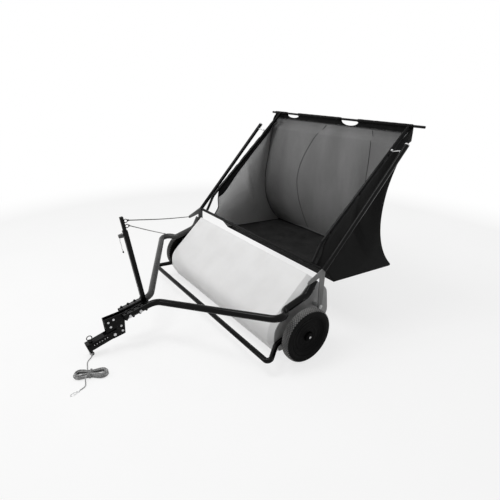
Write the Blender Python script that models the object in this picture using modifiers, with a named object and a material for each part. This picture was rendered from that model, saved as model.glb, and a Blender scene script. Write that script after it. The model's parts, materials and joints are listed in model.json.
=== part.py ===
"""Tow-behind lawn sweeper: hooded brush housing on two wheels, drawbar, dump hopper with a mesh bag.

Units are metres. Lengths are first laid out from the wheel axle: x = 0 is the centre plane and +X the
machine's left, y = 0 is the axle and -Y points forward to the hitch, z = 0 is the ground. The empty
"frame_origin" then moves everything so that y = 0 is the middle of the machine's length.
"""

import math

import bmesh
import bpy
import numpy as np
from mathutils import Matrix, Vector

# ------------------------------------------------------------------ driving dimensions
GAP = 0.0003                      # clearance between pieces that touch
RUN_GAP = 0.0005                  # radial clearance of a turning fit

# wheels, 10 x 1.75 inch
TYRE_RADIUS = 0.127
TYRE_WIDTH = 0.0445
TYRE_SHOULDER = 0.009
WHEEL_SIDES = 30
SMALL_SIDES = 16
WHEEL_FACE_X = 0.593              # outer face of the tyre from the centre plane
RIM_RADIUS = 0.0915
RIM_HALF_WIDTH = 0.019
RIM_WALL = 0.0035
WEB_THICKNESS = 0.008
HUB_RADIUS = 0.019
HUB_HALF_WIDTH = 0.0195
SPACER_RADIUS = 0.012
AXLE_RADIUS = 0.008
AXLE_HEAD_RADIUS = 0.0125
AXLE_HEAD_LENGTH = 0.006
HUB_CAP_RADIUS = 0.014
HUB_CAP_LENGTH = 0.006

# internal ring gear in each wheel and the pinion it drives
GEAR_MODULE = 0.0025
RING_TEETH = 50
PINION_TEETH = 11
ROOT_SHARE = 0.56                 # a tooth's widths at its root and tip, as shares of the pitch
TIP_SHARE = 0.22
ADDENDUM = 0.8                    # tooth height past the pitch circle and depth below it, in modules
DEDENDUM = 1.05
RING_BODY = 0.006                 # metal behind the ring's teeth
GEAR_FACE = 0.013
PINION_FACE = 0.011
BRUSH_BEARING_ANGLE = 20.0        # degrees above level, from the axle back to the brush shaft

# sweeping brush
SHAFT_RADIUS = 0.008
BEARING_RADIUS = 0.0135
BEARING_FLANGE = 0.018
BEARING_FLANGE_THICKNESS = 0.003
CORE_RADIUS = 0.028
CORE_END_CLEARANCE = 0.022        # between the core and an end plate
BRUSH_RADIUS = 0.122
BRUSH_ROWS = 4
TUFTS_PER_ROW = 76
TUFT_PITCH = 0.0124
TUFT_TIP = 0.0045
STRIP_WIDTH = 0.014
STRIP_HEIGHT = 0.006

# housing: hood sheet and two end plates
PLATE_OUTER_X = 0.503
PLATE_THICKNESS = 0.003
HOOD_SHEET = 0.002
HOOD_TOP = (0.0746, 0.360)        # y, z of the rear top rim
HOOD_LIP = 0.011                  # depth of the rolled rear rim
HOOD_SHOULDER = (-0.1385, 0.168)
HOOD_SHOULDER_BEND = 0.090
HOOD_CHIN = (-0.1385, 0.090)
HOOD_CHIN_BEND = 0.050
HOOD_EDGE = (-0.105, 0.030)       # lower front edge
END_BEVEL_WIDTH = 0.024           # the hood's ends turn in over this width
END_BEVEL_DEPTH = 0.017
PLATE_REAR = ((0.130, 0.030, 0.050), (0.192, 0.150, 0.060), (0.178, 0.270, 0.060))

# drawbar: two tubes from the hitch to the end plates
DRAWBAR_RADIUS = 0.0159
DRAWBAR_FRONT = (-0.608, 0.157)
DRAWBAR_SPLIT = (-0.455, 0.188)   # where the two tubes part
DRAWBAR_SPLIT_BEND = 0.060
DRAWBAR_ELBOW = (0.594, -0.136, 0.259)
DRAWBAR_ELBOW_BEND = 0.042
DRAWBAR_TUCK = (-0.084, 0.252)    # from here the tube runs beside the end plate, inside the tipping arm
DRAWBAR_TUCK_BEND = 0.022
DRAWBAR_RISE = (0.045, 0.288)
DRAWBAR_RISE_BEND = 0.045
DRAWBAR_END = (0.079, 0.348)

# front guard bar
GUARD_RADIUS = 0.0119
GUARD_CORNER = (0.577, -0.203, 0.069)
GUARD_CORNER_BEND = 0.016
GUARD_TUCK = (-0.122, 0.091)
GUARD_TUCK_BEND = 0.030
GUARD_END = (-0.055, 0.112)

# hitch: side plates, tongue, pin
HITCH_PLATE = 0.004
POST_SIZE = 0.020
HITCH_OUTLINE = ((-0.695, 0.162), (-0.612, 0.170), (-0.484, 0.197), (-0.474, 0.166),
                 (-0.602, 0.139), (-0.607, 0.064), (-0.662, 0.054), (-0.690, 0.092))
TONGUE_HEIGHT = 0.036
TONGUE_WALL = 0.004
TONGUE_STRAPS = 0.085             # length of the top and bottom walls; the cheeks run on
TONGUE_LENGTH = 0.145
TONGUE_SLOPE = 15.0               # degrees down towards the front
TONGUE_FRONT = (-0.780, 0.046)    # middle of the tongue's mouth
PIN_Y = -0.763
PIN_RADIUS = 0.0055
PIN_COLLAR = 0.006
PIN_COLLAR_RADIUS = 0.009
PIN_RING = 0.0115
RING_WIRE = 0.0022
CLIP_Z = 0.015
CLIP_WIRE = 0.0014
CLIP_REACH = 0.0045               # the clip's straight leg stands this far past the pin
CLIP_BOW = ((0.006, -0.003), (0.007, -0.008))
CLIP_CLEAR = 0.0035               # between the pin and the clip's bent leg
HITCH_BOLT_Y = (-0.585, -0.535)
TONGUE_CHEEK_BOLT = 0.128
BOLT_RADIUS = 0.0075
BOLT_SHANK = 0.004
BOLT_HEAD = 0.0055

# rope post, telescoping, leaning forward
POST_FOOT = (-0.497, 0.168)
POST_LEAN = 7.4                   # degrees
POST_LOWER_LENGTH = 0.385
POST_WALL = 0.0025
POST_UPPER_LENGTH = 0.150
POST_UPPER_SHOWS = 0.062
POST_KNOB_RADIUS = 0.011
POST_KNOB_LENGTH = 0.017
POST_KNOB_STAND = 0.004           # the stem shows this much between post and knob
POST_KNOB_STEM = 0.0044
POST_KNOB_TAPER = 0.8
KNOB_DROP = 0.018                 # knob's axis below the top of the lower post
EYE_RADIUS = 0.0075
EYE_WIRE = 0.0019
EYE_REACH = 0.0031                # a rope starts this far from its eye's wire
EYE_HEIGHTS = (0.016, 0.040)      # the two rope eyes above the lower post

# hopper: arms, outer tubes, bag frame
PIVOT = (0.102, 0.218)
PIVOT_RADIUS = 0.006
PIVOT_SLEEVE = 0.010
PIVOT_HEAD = 0.0055
PIVOT_HEAD_RADIUS = 0.0105
ARM_THICKNESS = 0.004
ARM_WIDTH = 0.026
ARM_LUG = (0.030, 0.356)          # forward ear that the dump rope pulls
ARM_LUG_HALF = 0.009
ARM_LUG_TIP = 0.4                 # the ear's end, as a share of its width
ARM_WAIST = 0.145                 # the ear leaves the strap this far above the pivot
HOPPER_TUBE_X = 0.5392
HOPPER_TUBE_RADIUS = 0.0111
HOPPER_TUBE_LOW = (0.1103, 0.392)
HOPPER_TUBE_TOP = (0.5698, 0.8731)
FRONT_BAR_RADIUS = 0.008
FRONT_BAR = (0.110, 0.394)
BAG_TUBE_X = 0.467
BAG_TUBE_RADIUS = 0.008
BAG_TUBE_LOW = (0.160, 0.484)
CROSSBAR_RADIUS = 0.006
CROSSBAR = (0.675, 0.944)
CROSSBAR_HALF = 0.545
LINK_Y = 0.548
LINK_RADIUS = 0.003

# bag: open-topped shell of thin cloth
CLOTH = 0.0025
BAG_SIDE_START = 0.046            # the side panels start this far up the bag tubes' straight run
BAG_FRONT_EDGE = ((0.187, 0.462), (0.184, 0.412), (0.152, 0.368), (0.213, 0.324), (0.262, 0.262))
BAG_FLOOR_Z = 0.232
BAG_REAR_Y = 0.703
BAG_CORNER = 0.020
BAG_SIDE_PULL = 0.035             # side panels draw in between tube and floor
BAG_REAR_PULL = 0.045             # the rear wall draws in by this in its middle
BAG_CORNER_PULL = 0.138           # and by this at its two upright edges
BAG_PULL_LOW = 0.75               # under 1 sets the deepest draw below half height
BAG_COLUMNS = 6
HOOK_RADIUS = 0.002

# dump rope, its hank and snap
ROPE_RADIUS = 0.0024
HANK_CENTRE = (0.140, -0.806)
HANK_HEADING = 63.0               # degrees from +X to the hank's long axis
HANK_HALF_RUN = 0.045
HANK_INNER = 0.0145
HANK_STEP = 0.0065
HANK_LAYER = 0.0054
HANK_TURNS = 7.5
HANK_TURNS_PER_LAYER = 2
HANK_WAIST = 0.0095
LOOP_POINTS = 24
TIE_THICKNESS = 0.0012
TIE_WIDTH = 0.007
TIE_CLEAR = 0.0008                # the loops widen a little over the tie's width
LEAD_ROUTE = ((0.0064, -0.7630, 0.0075), (0.0130, -0.7640, 0.0069), (0.0240, -0.7760, 0.0034),
              (0.0370, -0.7900, 0.0026), (0.0520, -0.7980, 0.0026), (0.0720, -0.8030, 0.0026),
              (0.0920, -0.8080, 0.0026), (0.1080, -0.8100, 0.0030))
TAIL_ROUTE = ((0.1570, -0.8290, 0.0206), (0.1680, -0.8345, 0.0165), (0.1780, -0.8375, 0.0095),
              (0.1880, -0.8405, 0.0036), (0.1960, -0.8470, 0.0026), (0.2010, -0.8560, 0.0026),
              (0.2040, -0.8660, 0.0026))
SNAP_WIRE = 0.0016
SNAP_HALF = ((0.006, 0.0055), (0.012, 0.003), (0.018, 0.0055), (0.028, 0.0065), (0.036, 0.005))
SNAP_LENGTH = 0.040
STAY_END = (-0.5619, -0.1332, 0.2708)    # where the stay rope meets the drawbar's elbow
HELD_SAG = (0.004, 0.006)

# ------------------------------------------------------------------ sizes that follow
AXLE_Z = TYRE_RADIUS * math.cos(math.pi / WHEEL_SIDES)
WHEEL_X = WHEEL_FACE_X - TYRE_WIDTH / 2
PLATE_INNER_X = PLATE_OUTER_X - PLATE_THICKNESS
GEAR_CENTRES = GEAR_MODULE * (RING_TEETH - PINION_TEETH) / 2
BRUSH_Y = GEAR_CENTRES * math.cos(math.radians(BRUSH_BEARING_ANGLE))
BRUSH_Z = AXLE_Z + GEAR_CENTRES * math.sin(math.radians(BRUSH_BEARING_ANGLE))
DRAWBAR_PLATE_X = PLATE_OUTER_X + GAP + DRAWBAR_RADIUS
GUARD_PLATE_X = PLATE_OUTER_X + GAP + GUARD_RADIUS
HITCH_PLATE_IN = POST_SIZE / 2 + GAP
HITCH_PLATE_OUT = HITCH_PLATE_IN + HITCH_PLATE
DRAWBAR_FRONT_X = HITCH_PLATE_OUT + GAP + DRAWBAR_RADIUS
POST_UP = Vector((0, -math.sin(math.radians(POST_LEAN)), math.cos(math.radians(POST_LEAN))))
POST_BACK = Vector((0, math.cos(math.radians(POST_LEAN)), math.sin(math.radians(POST_LEAN))))
POST_BASE = Vector((0, *POST_FOOT))
POST_UPPER_SIZE = POST_SIZE - 2 * POST_WALL - 2 * RUN_GAP
RING_INNER = GEAR_MODULE * (RING_TEETH / 2 - ADDENDUM)
RING_ROOT = GEAR_MODULE * (RING_TEETH / 2 + DEDENDUM)
RING_OUTER = RING_ROOT + RING_BODY
PINION_TIP = GEAR_MODULE * (PINION_TEETH / 2 + ADDENDUM)
PINION_ROOT = GEAR_MODULE * (PINION_TEETH / 2 - DEDENDUM)
SLOPE = math.radians(TONGUE_SLOPE)
FRONT_Y = TONGUE_FRONT[0] - TONGUE_HEIGHT / 2 * math.sin(SLOPE)

# ------------------------------------------------------------------ scene and helpers
for old in list(bpy.data.objects):
    bpy.data.objects.remove(old)

PARTS = bpy.data.collections.new("lawn_sweeper")
CUTTERS = bpy.data.collections.new("cutters")
for group in (PARTS, CUTTERS):
    bpy.context.scene.collection.children.link(group)


def make_material(name, colour, roughness, metallic=0.0):
    """A Principled material of one colour."""
    material = bpy.data.materials.new(name)
    material.use_nodes = True
    shader = material.node_tree.nodes["Principled BSDF"]
    shader.inputs["Base Color"].default_value = (*colour, 1.0)
    shader.inputs["Roughness"].default_value = roughness
    shader.inputs["Metallic"].default_value = metallic
    return material


COLOURS = {
    "black_paint": ((0.012, 0.012, 0.013), 0.28, 0.0),
    "dark_steel": ((0.06, 0.06, 0.065), 0.45, 0.6),
    "zinc": ((0.62, 0.63, 0.64), 0.32, 1.0),
    "hood_paint": ((0.72, 0.73, 0.74), 0.38, 0.0),
    "rubber": ((0.014, 0.014, 0.015), 0.75, 0.0),
    "rim_plastic": ((0.015, 0.015, 0.016), 0.42, 0.0),
    "gear_nylon": ((0.06, 0.06, 0.06), 0.5, 0.0),
    "bristle": ((0.02, 0.02, 0.022), 0.7, 0.0),
    "cloth": ((0.02, 0.021, 0.023), 0.85, 0.0),
    "rope": ((0.30, 0.30, 0.30), 0.85, 0.0),
}
MATERIALS = {name: make_material(name, *look) for name, look in COLOURS.items()}


def add_empty(name, location, parent=None):
    """An empty that marks the frame's origin or a joint's axis."""
    empty = bpy.data.objects.new(name, None)
    empty.location = location
    empty.parent = parent
    PARTS.objects.link(empty)
    return empty


ORIGIN = add_empty("frame_origin", (0, 0, 0))
KNOB_AT = POST_BASE + POST_UP * (POST_LOWER_LENGTH - KNOB_DROP)
BODIES = {
    "chassis": Vector((0, 0, 0)),
    "left_wheel": Vector((WHEEL_X, 0, AXLE_Z)),
    "right_wheel": Vector((-WHEEL_X, 0, AXLE_Z)),
    "brush": Vector((0, BRUSH_Y, BRUSH_Z)),
    "right_pinion": Vector((-WHEEL_X, BRUSH_Y, BRUSH_Z)),
    "hopper": Vector((0, *PIVOT)),
    "post_top": POST_BASE,
    "post_knob": KNOB_AT,
}
AXES = {name: add_empty("axis_" + name, place, ORIGIN) for name, place in BODIES.items()}


def finish(obj, body, material):
    """Put an object, laid out from the axle, under its body's empty and give it its material."""
    obj.parent = AXES[body]
    obj.matrix_parent_inverse = Matrix.Translation(-BODIES[body])
    obj.data.materials.append(MATERIALS[material])
    if obj.type == "MESH":
        obj.data.set_sharp_from_angle(angle=math.radians(35))
        obj.data.polygons.foreach_set("use_smooth", [True] * len(obj.data.polygons))
    return obj


def mesh_object(name, bm, body, material):
    mesh = bpy.data.meshes.new(name)
    bm.to_mesh(mesh)
    bm.free()
    obj = bpy.data.objects.new(name, mesh)
    PARTS.objects.link(obj)
    return finish(obj, body, material)


def turn_to(axis):
    """Rotation that carries +Z to the given axis."""
    return Vector((0, 0, 1)).rotation_difference(Vector(axis)).to_matrix().to_4x4()


def add_rod(bm, start, end, radius, sides=12, tip_radius=None):
    """A capped cylinder or cone between two points."""
    start, end = Vector(start), Vector(end)
    along = end - start
    place = Matrix.Translation((start + end) / 2) @ turn_to(along.normalized())
    bmesh.ops.create_cone(bm, cap_ends=True, segments=sides, radius1=radius,
                          radius2=radius if tip_radius is None else tip_radius,
                          depth=along.length, matrix=place)


def add_box(bm, size, centre, turn=None):
    place = Matrix.Translation(centre) @ (turn or Matrix.Identity(4)) @ Matrix.Diagonal((*size, 1))
    bmesh.ops.create_cube(bm, size=1.0, matrix=place)


def fillet_path(corners, bends, step=14.0):
    """Straight runs between corners, with an arc of the given radius at each inner corner."""
    corners = [Vector(c) for c in corners]
    path = [corners[0]]
    for i in range(1, len(corners) - 1):
        before = (corners[i - 1] - corners[i]).normalized()
        after = (corners[i + 1] - corners[i]).normalized()
        half = before.angle(after) / 2
        setback = bends[i - 1] / math.tan(half)
        centre = corners[i] + (before + after).normalized() * bends[i - 1] / math.sin(half)
        start = corners[i] + before * setback - centre
        end = corners[i] + after * setback - centre
        sweep = start.angle(end)
        count = max(2, round(math.degrees(sweep) / step))
        for k in range(count + 1):
            share = k / count
            mix = start * math.sin((1 - share) * sweep) + end * math.sin(share * sweep)
            path.append(centre + mix / math.sin(sweep))
    path.append(corners[-1])
    return path


def smooth_route(points, spacing):
    """Points at an even spacing on a smooth curve through a route's own points."""
    knots = np.array(points, float)
    padded = np.vstack([2 * knots[0] - knots[1], knots, 2 * knots[-1] - knots[-2]])
    dense = []
    for i in range(len(knots) - 1):
        a, b, c, d = padded[i:i + 4]
        for s in np.linspace(0, 1, 16, endpoint=False):
            dense.append(0.5 * (2 * b + (c - a) * s + (2 * a - 5 * b + 4 * c - d) * s * s
                                + (3 * b - a - 3 * c + d) * s ** 3))
    dense = np.array(dense + [knots[-1]])
    lengths = np.concatenate([[0], np.cumsum(np.linalg.norm(np.diff(dense, axis=0), axis=1))])
    marks = np.linspace(0, lengths[-1], max(3, round(lengths[-1] / spacing) + 1))
    return [Vector(np.array([np.interp(m, lengths, dense[:, k]) for k in range(3)])) for m in marks]


def tube(name, path, radius, body, material, resolution=3, closed=False):
    """A round bar along a path, as a curve with a bevel and capped ends."""
    curve = bpy.data.curves.new(name, "CURVE")
    curve.dimensions = "3D"
    curve.bevel_depth = radius
    curve.bevel_resolution = resolution
    curve.use_fill_caps = True
    spline = curve.splines.new("POLY")
    spline.points.add(len(path) - 1)
    for point, place in zip(spline.points, path):
        point.co = (*place, 1.0)
    spline.use_cyclic_u = closed
    spline.use_smooth = True
    obj = bpy.data.objects.new(name, curve)
    PARTS.objects.link(obj)
    return finish(obj, body, material)


def as_mesh(obj, body, material):
    """The same tube as a welded mesh, which a Boolean can cut."""
    name = obj.name
    mesh = bpy.data.meshes.new_from_object(obj.evaluated_get(bpy.context.evaluated_depsgraph_get()))
    bm = bmesh.new()
    bm.from_mesh(mesh)
    bmesh.ops.remove_doubles(bm, verts=bm.verts, dist=0.00001)
    bpy.data.meshes.remove(mesh)
    bpy.data.objects.remove(obj)
    return mesh_object(name, bm, body, material)


def add_ring(bm, centre, across, up, radius, wire):
    """A round wire ring in the plane of two directions."""
    centre, side = Vector(centre), Vector(across).cross(up)
    rings = []
    for a in np.linspace(0, 2 * math.pi, 12, endpoint=False):
        out = across * math.cos(a) + up * math.sin(a)
        rings.append([bm.verts.new(centre + out * (radius + wire * math.cos(b)) + side * wire * math.sin(b))
                      for b in np.linspace(0, 2 * math.pi, 6, endpoint=False)])
    faces = [bm.faces.new((a[k], a[k - 1], b[k - 1], b[k]))
             for a, b in zip(rings, rings[1:] + rings[:1]) for k in range(6)]
    bmesh.ops.recalc_face_normals(bm, faces=faces)


def circle(centre, radius, sides=SMALL_SIDES):
    """Corners of a regular hole whose flats clear the given radius."""
    reach = radius / math.cos(math.pi / sides)
    return [(centre[0] + reach * math.cos(2 * math.pi * k / sides),
             centre[1] + reach * math.sin(2 * math.pi * k / sides)) for k in range(sides)]


def side_plate(name, outline, x_mid, thickness, body, material, holes=()):
    """A flat plate parallel to the YZ plane, cut to an outline of (y, z) corners."""
    curve = bpy.data.curves.new(name, "CURVE")
    curve.dimensions = "2D"
    curve.fill_mode = "BOTH"
    curve.extrude = thickness / 2
    for loop in (outline, *holes):
        spline = curve.splines.new("POLY")
        spline.points.add(len(loop) - 1)
        for point, (y, z) in zip(spline.points, loop):
            point.co = (y, z, 0, 1)
        spline.use_cyclic_u = True
    obj = bpy.data.objects.new(name, curve)
    obj.rotation_euler = (math.pi / 2, 0, math.pi / 2)
    obj.location = (x_mid, 0, 0)
    PARTS.objects.link(obj)
    return finish(obj, body, material)


def turned(name, profile, centre, axis, body, material, steps=WHEEL_SIDES):
    """A closed profile of (radius, height) corners turned about an axis through centre."""
    bm = bmesh.new()
    ring = [bm.verts.new((r, 0, h)) for r, h in profile]
    for a, b in zip(ring, ring[1:] + ring[:1]):
        bm.edges.new((a, b))
    obj = mesh_object(name, bm, body, material)
    half_step = Matrix.Rotation(math.pi / steps, 4, "Z")
    obj.matrix_basis = Matrix.Translation(centre) @ turn_to(axis) @ half_step
    screw = obj.modifiers.new("turn", "SCREW")
    screw.steps = steps
    screw.render_steps = steps
    screw.use_merge_vertices = True
    screw.merge_threshold = 0.00001
    screw.use_smooth_shade = True
    return obj


# ------------------------------------------------------------------ housing
def offset_profile(path, depth):
    """Move a (y, z) path inwards, to its left as it runs from the top rim to the lower edge."""
    moved = []
    for i, point in enumerate(path):
        before = path[max(i - 1, 0)]
        after = path[min(i + 1, len(path) - 1)]
        run = (after - before).normalized()
        moved.append(point + Vector((-run.y, run.x)).to_2d() * depth)
    return moved


HOOD_CORNERS = (HOOD_TOP, HOOD_SHOULDER, HOOD_CHIN, HOOD_EDGE)
HOOD_PATH = [p.to_2d() for p in fillet_path([(y, z, 0) for y, z in HOOD_CORNERS],
                                            (HOOD_SHOULDER_BEND, HOOD_CHIN_BEND), 10.0)]
HOOD_END_PATH = offset_profile(HOOD_PATH, END_BEVEL_DEPTH)


def make_hood():
    """Bent sheet: straight slope, round shoulder and chin, a rolled rear rim and turned-in ends."""
    bm = bmesh.new()
    end_x = PLATE_INNER_X - GAP
    full_x = end_x - END_BEVEL_WIDTH
    rows = []
    for x, path in ((-end_x, HOOD_END_PATH), (-full_x, HOOD_PATH), (full_x, HOOD_PATH), (end_x, HOOD_END_PATH)):
        slope = (path[0] - path[1]).normalized()
        lip = path[0] + Vector((slope.y, -slope.x)) * HOOD_LIP
        rows.append([bm.verts.new((x, y, z)) for y, z in [lip, *path]])
    for left, right in zip(rows, rows[1:]):
        for i in range(len(left) - 1):
            bm.faces.new((left[i], left[i + 1], right[i + 1], right[i]))
    hood = mesh_object("hood_shell", bm, "chassis", "hood_paint")
    sheet = hood.modifiers.new("sheet", "SOLIDIFY")
    sheet.thickness = HOOD_SHEET
    sheet.offset = -1
    sheet.use_even_offset = True


def make_end_plates():
    """Flat ends that carry the axle bolts, the brush bearings and the hopper's pivots."""
    rear = fillet_path([(*HOOD_END_PATH[-1], 0), *[(y, z, 0) for y, z, _ in PLATE_REAR], (*HOOD_END_PATH[0], 0)],
                       [bend for _, _, bend in PLATE_REAR])
    outline = [tuple(p) for p in HOOD_END_PATH] + [(p.x, p.y) for p in rear[1:-1]]
    holes = (circle((0, AXLE_Z), AXLE_RADIUS + GAP), circle((BRUSH_Y, BRUSH_Z), BEARING_RADIUS + GAP),
             circle(PIVOT, PIVOT_RADIUS + GAP, 12))
    for side, name in ((1, "left"), (-1, "right")):
        side_plate("end_plate_" + name, outline, side * (PLATE_INNER_X + PLATE_OUTER_X) / 2, PLATE_THICKNESS,
                   "chassis", "hood_paint", holes)


def make_bearings():
    """Flanged bushes in the end plates for the brush shaft."""
    bore = (SHAFT_RADIUS + RUN_GAP) / math.cos(math.pi / SMALL_SIDES)
    for side, name in ((1, "left"), (-1, "right")):
        inner, outer = -PLATE_THICKNESS, GAP
        face = outer + BEARING_FLANGE_THICKNESS
        profile = ((BEARING_FLANGE, face), (BEARING_FLANGE, outer), (BEARING_RADIUS, outer),
                   (BEARING_RADIUS, inner), (bore, inner), (bore, face))
        turned("brush_bearing_" + name, profile, (side * PLATE_OUTER_X, BRUSH_Y, BRUSH_Z), (side, 0, 0),
               "chassis", "gear_nylon", SMALL_SIDES)


# ------------------------------------------------------------------ wheels and gears
def make_wheels():
    shoulder = TYRE_WIDTH / 2
    tread = shoulder - TYRE_SHOULDER
    mid = (TYRE_RADIUS + RIM_RADIUS) / 2
    upper = ((RIM_RADIUS + GAP, shoulder * 0.75), (mid, shoulder),
             (TYRE_RADIUS - TYRE_SHOULDER * 0.4, shoulder - TYRE_SHOULDER * 0.35), (TYRE_RADIUS, tread))
    lower = tuple((r, -h) for r, h in reversed(upper))
    web = WEB_THICKNESS / 2
    bore = (AXLE_RADIUS + RUN_GAP) / math.cos(math.pi / WHEEL_SIDES)
    inner = RIM_RADIUS - RIM_WALL
    hub = HUB_HALF_WIDTH
    rim = ((RIM_RADIUS, RIM_HALF_WIDTH), (RIM_RADIUS, -RIM_HALF_WIDTH), (inner, -RIM_HALF_WIDTH),
           (inner - RIM_WALL, -web), (HUB_RADIUS, -web), (HUB_RADIUS, -hub), (bore, -hub), (bore, hub),
           (HUB_RADIUS * 0.9, hub), (HUB_RADIUS, web), (inner - 2.5 * RIM_WALL, web), (inner, RIM_HALF_WIDTH))
    for side, name in ((1, "left"), (-1, "right")):
        centre, axis, body = (side * WHEEL_X, 0, AXLE_Z), (side, 0, 0), name + "_wheel"
        turned("tyre_" + name, upper + lower, centre, axis, body, "rubber")
        turned("rim_" + name, rim, centre, axis, body, "rim_plastic")
        bm = bmesh.new()
        cap_start = side * (WHEEL_X + hub + GAP)
        add_rod(bm, (cap_start, 0, AXLE_Z), (cap_start + side * HUB_CAP_LENGTH, 0, AXLE_Z), HUB_CAP_RADIUS, 16,
                HUB_CAP_RADIUS * 0.7)
        cap = mesh_object("hub_cap_" + name, bm, body, "zinc")
        cap.modifiers.new("bevel", "BEVEL").width = 0.001


def gear_corners(teeth, inner_width, outer_width, inner, outer, phase):
    """Corners of a toothed circle; widths are shares of the pitch at the two radii."""
    corners = []
    for k in range(teeth):
        middle = phase + k / teeth
        for radius, offset in ((inner, -inner_width / 2), (outer, -outer_width / 2),
                               (outer, outer_width / 2), (inner, inner_width / 2)):
            angle = 2 * math.pi * (middle + offset / teeth)
            corners.append((radius * math.cos(angle), radius * math.sin(angle)))
    return corners


def gear_plate(name, loops, x_mid, thickness, centre, body, material):
    placed = [[(y + centre[0], z + centre[1]) for y, z in loop] for loop in loops]
    return side_plate(name, placed[0], x_mid, thickness, body, material, placed[1:])


def make_gears():
    """Internal ring gear on each wheel's web and the pinion inside it, meshed at rest.

    The left pinion is fixed on the brush shaft, and the right one turns on it.
    """
    toward = BRUSH_BEARING_ANGLE / 360
    gear_mid = WHEEL_X - WEB_THICKNESS / 2 - GAP - GEAR_FACE / 2
    rim_loop = circle((0, 0), RING_OUTER, 48)
    slots = gear_corners(RING_TEETH, ROOT_SHARE, TIP_SHARE, RING_ROOT, RING_INNER, toward + 0.5 / RING_TEETH)
    teeth = gear_corners(PINION_TEETH, ROOT_SHARE, TIP_SHARE, PINION_ROOT, PINION_TIP, toward)
    for side, name, fit, driven in ((1, "left", GAP, "brush"), (-1, "right", RUN_GAP, "right_pinion")):
        gear_plate("ring_gear_" + name, (rim_loop, slots), side * gear_mid, GEAR_FACE, (0, AXLE_Z),
                   name + "_wheel", "gear_nylon")
        bore = circle((0, 0), SHAFT_RADIUS + fit, 16)
        gear_plate("pinion_" + name, (teeth, bore), side * gear_mid, PINION_FACE, (BRUSH_Y, BRUSH_Z),
                   driven, "zinc")


def shoulder_bolt(name, place, ends, radii, head_radius, head):
    """A side's bolt through its end plate: inner head, shoulder outside the plate, and shank to its tip."""
    plate, shoulder, tip = ends
    inner = PLATE_INNER_X - GAP
    side = math.copysign(1, plate)
    heads, shank, sleeve = bmesh.new(), bmesh.new(), bmesh.new()
    add_rod(heads, (side * (inner - head), *place), (side * inner, *place), head_radius, 6)
    add_rod(shank, (side * (inner - head / 2), *place), (tip, *place), radii[0], 16)
    add_rod(sleeve, (plate, *place), (shoulder, *place), radii[1], 16)
    bolt = union(name, heads, shank, "chassis", "zinc")
    combine(bolt, name + "_shoulder", sleeve, "UNION")
    return bolt


def make_axles():
    """Shoulder bolts that carry the wheels, headed inside the end plates."""
    for side, name in ((1, "left"), (-1, "right")):
        hub_inner, hub_outer = WHEEL_X - HUB_HALF_WIDTH - GAP, WHEEL_X + HUB_HALF_WIDTH
        ends = [side * x for x in (PLATE_OUTER_X + GAP, hub_inner, hub_outer)]
        shoulder_bolt("axle_bolt_" + name, (0, AXLE_Z), ends, (AXLE_RADIUS, SPACER_RADIUS), AXLE_HEAD_RADIUS,
                      AXLE_HEAD_LENGTH)


def combine(obj, name, shape, operation):
    """Join a bmesh shape to an object or cut it out; the shape is laid out like the object."""
    mesh = bpy.data.meshes.new(name)
    shape.to_mesh(mesh)
    shape.free()
    tool = bpy.data.objects.new(name, mesh)
    tool.parent = obj
    tool.hide_render = True
    tool.display_type = "WIRE"
    CUTTERS.objects.link(tool)
    step = obj.modifiers.new(name, "BOOLEAN")
    step.operation = operation
    step.object = tool


def union(name, base, added, body, material):
    """One solid from two bmesh shapes that overlap."""
    obj = mesh_object(name, base, body, material)
    combine(obj, name + "_added", added, "UNION")
    return obj


# ------------------------------------------------------------------ brush
def make_brush():
    """Shaft, core, and rows of tapered tufts on backing strips."""
    pin_x = WHEEL_X - WEB_THICKNESS / 2 - GAP - 0.004
    bm = bmesh.new()
    add_rod(bm, (-pin_x, BRUSH_Y, BRUSH_Z), (pin_x, BRUSH_Y, BRUSH_Z), SHAFT_RADIUS, 16)
    mesh_object("brush_shaft", bm, "brush", "dark_steel")
    bore = (SHAFT_RADIUS + GAP) / math.cos(math.pi / SMALL_SIDES)
    half = PLATE_INNER_X - CORE_END_CLEARANCE
    turned("brush_core", ((CORE_RADIUS, half), (CORE_RADIUS, -half), (bore, -half), (bore, half)),
           (0, BRUSH_Y, BRUSH_Z), (1, 0, 0), "brush", "gear_nylon", SMALL_SIDES)
    base = CORE_RADIUS + GAP
    for row in range(BRUSH_ROWS):
        make_tufts(row, base)


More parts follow.
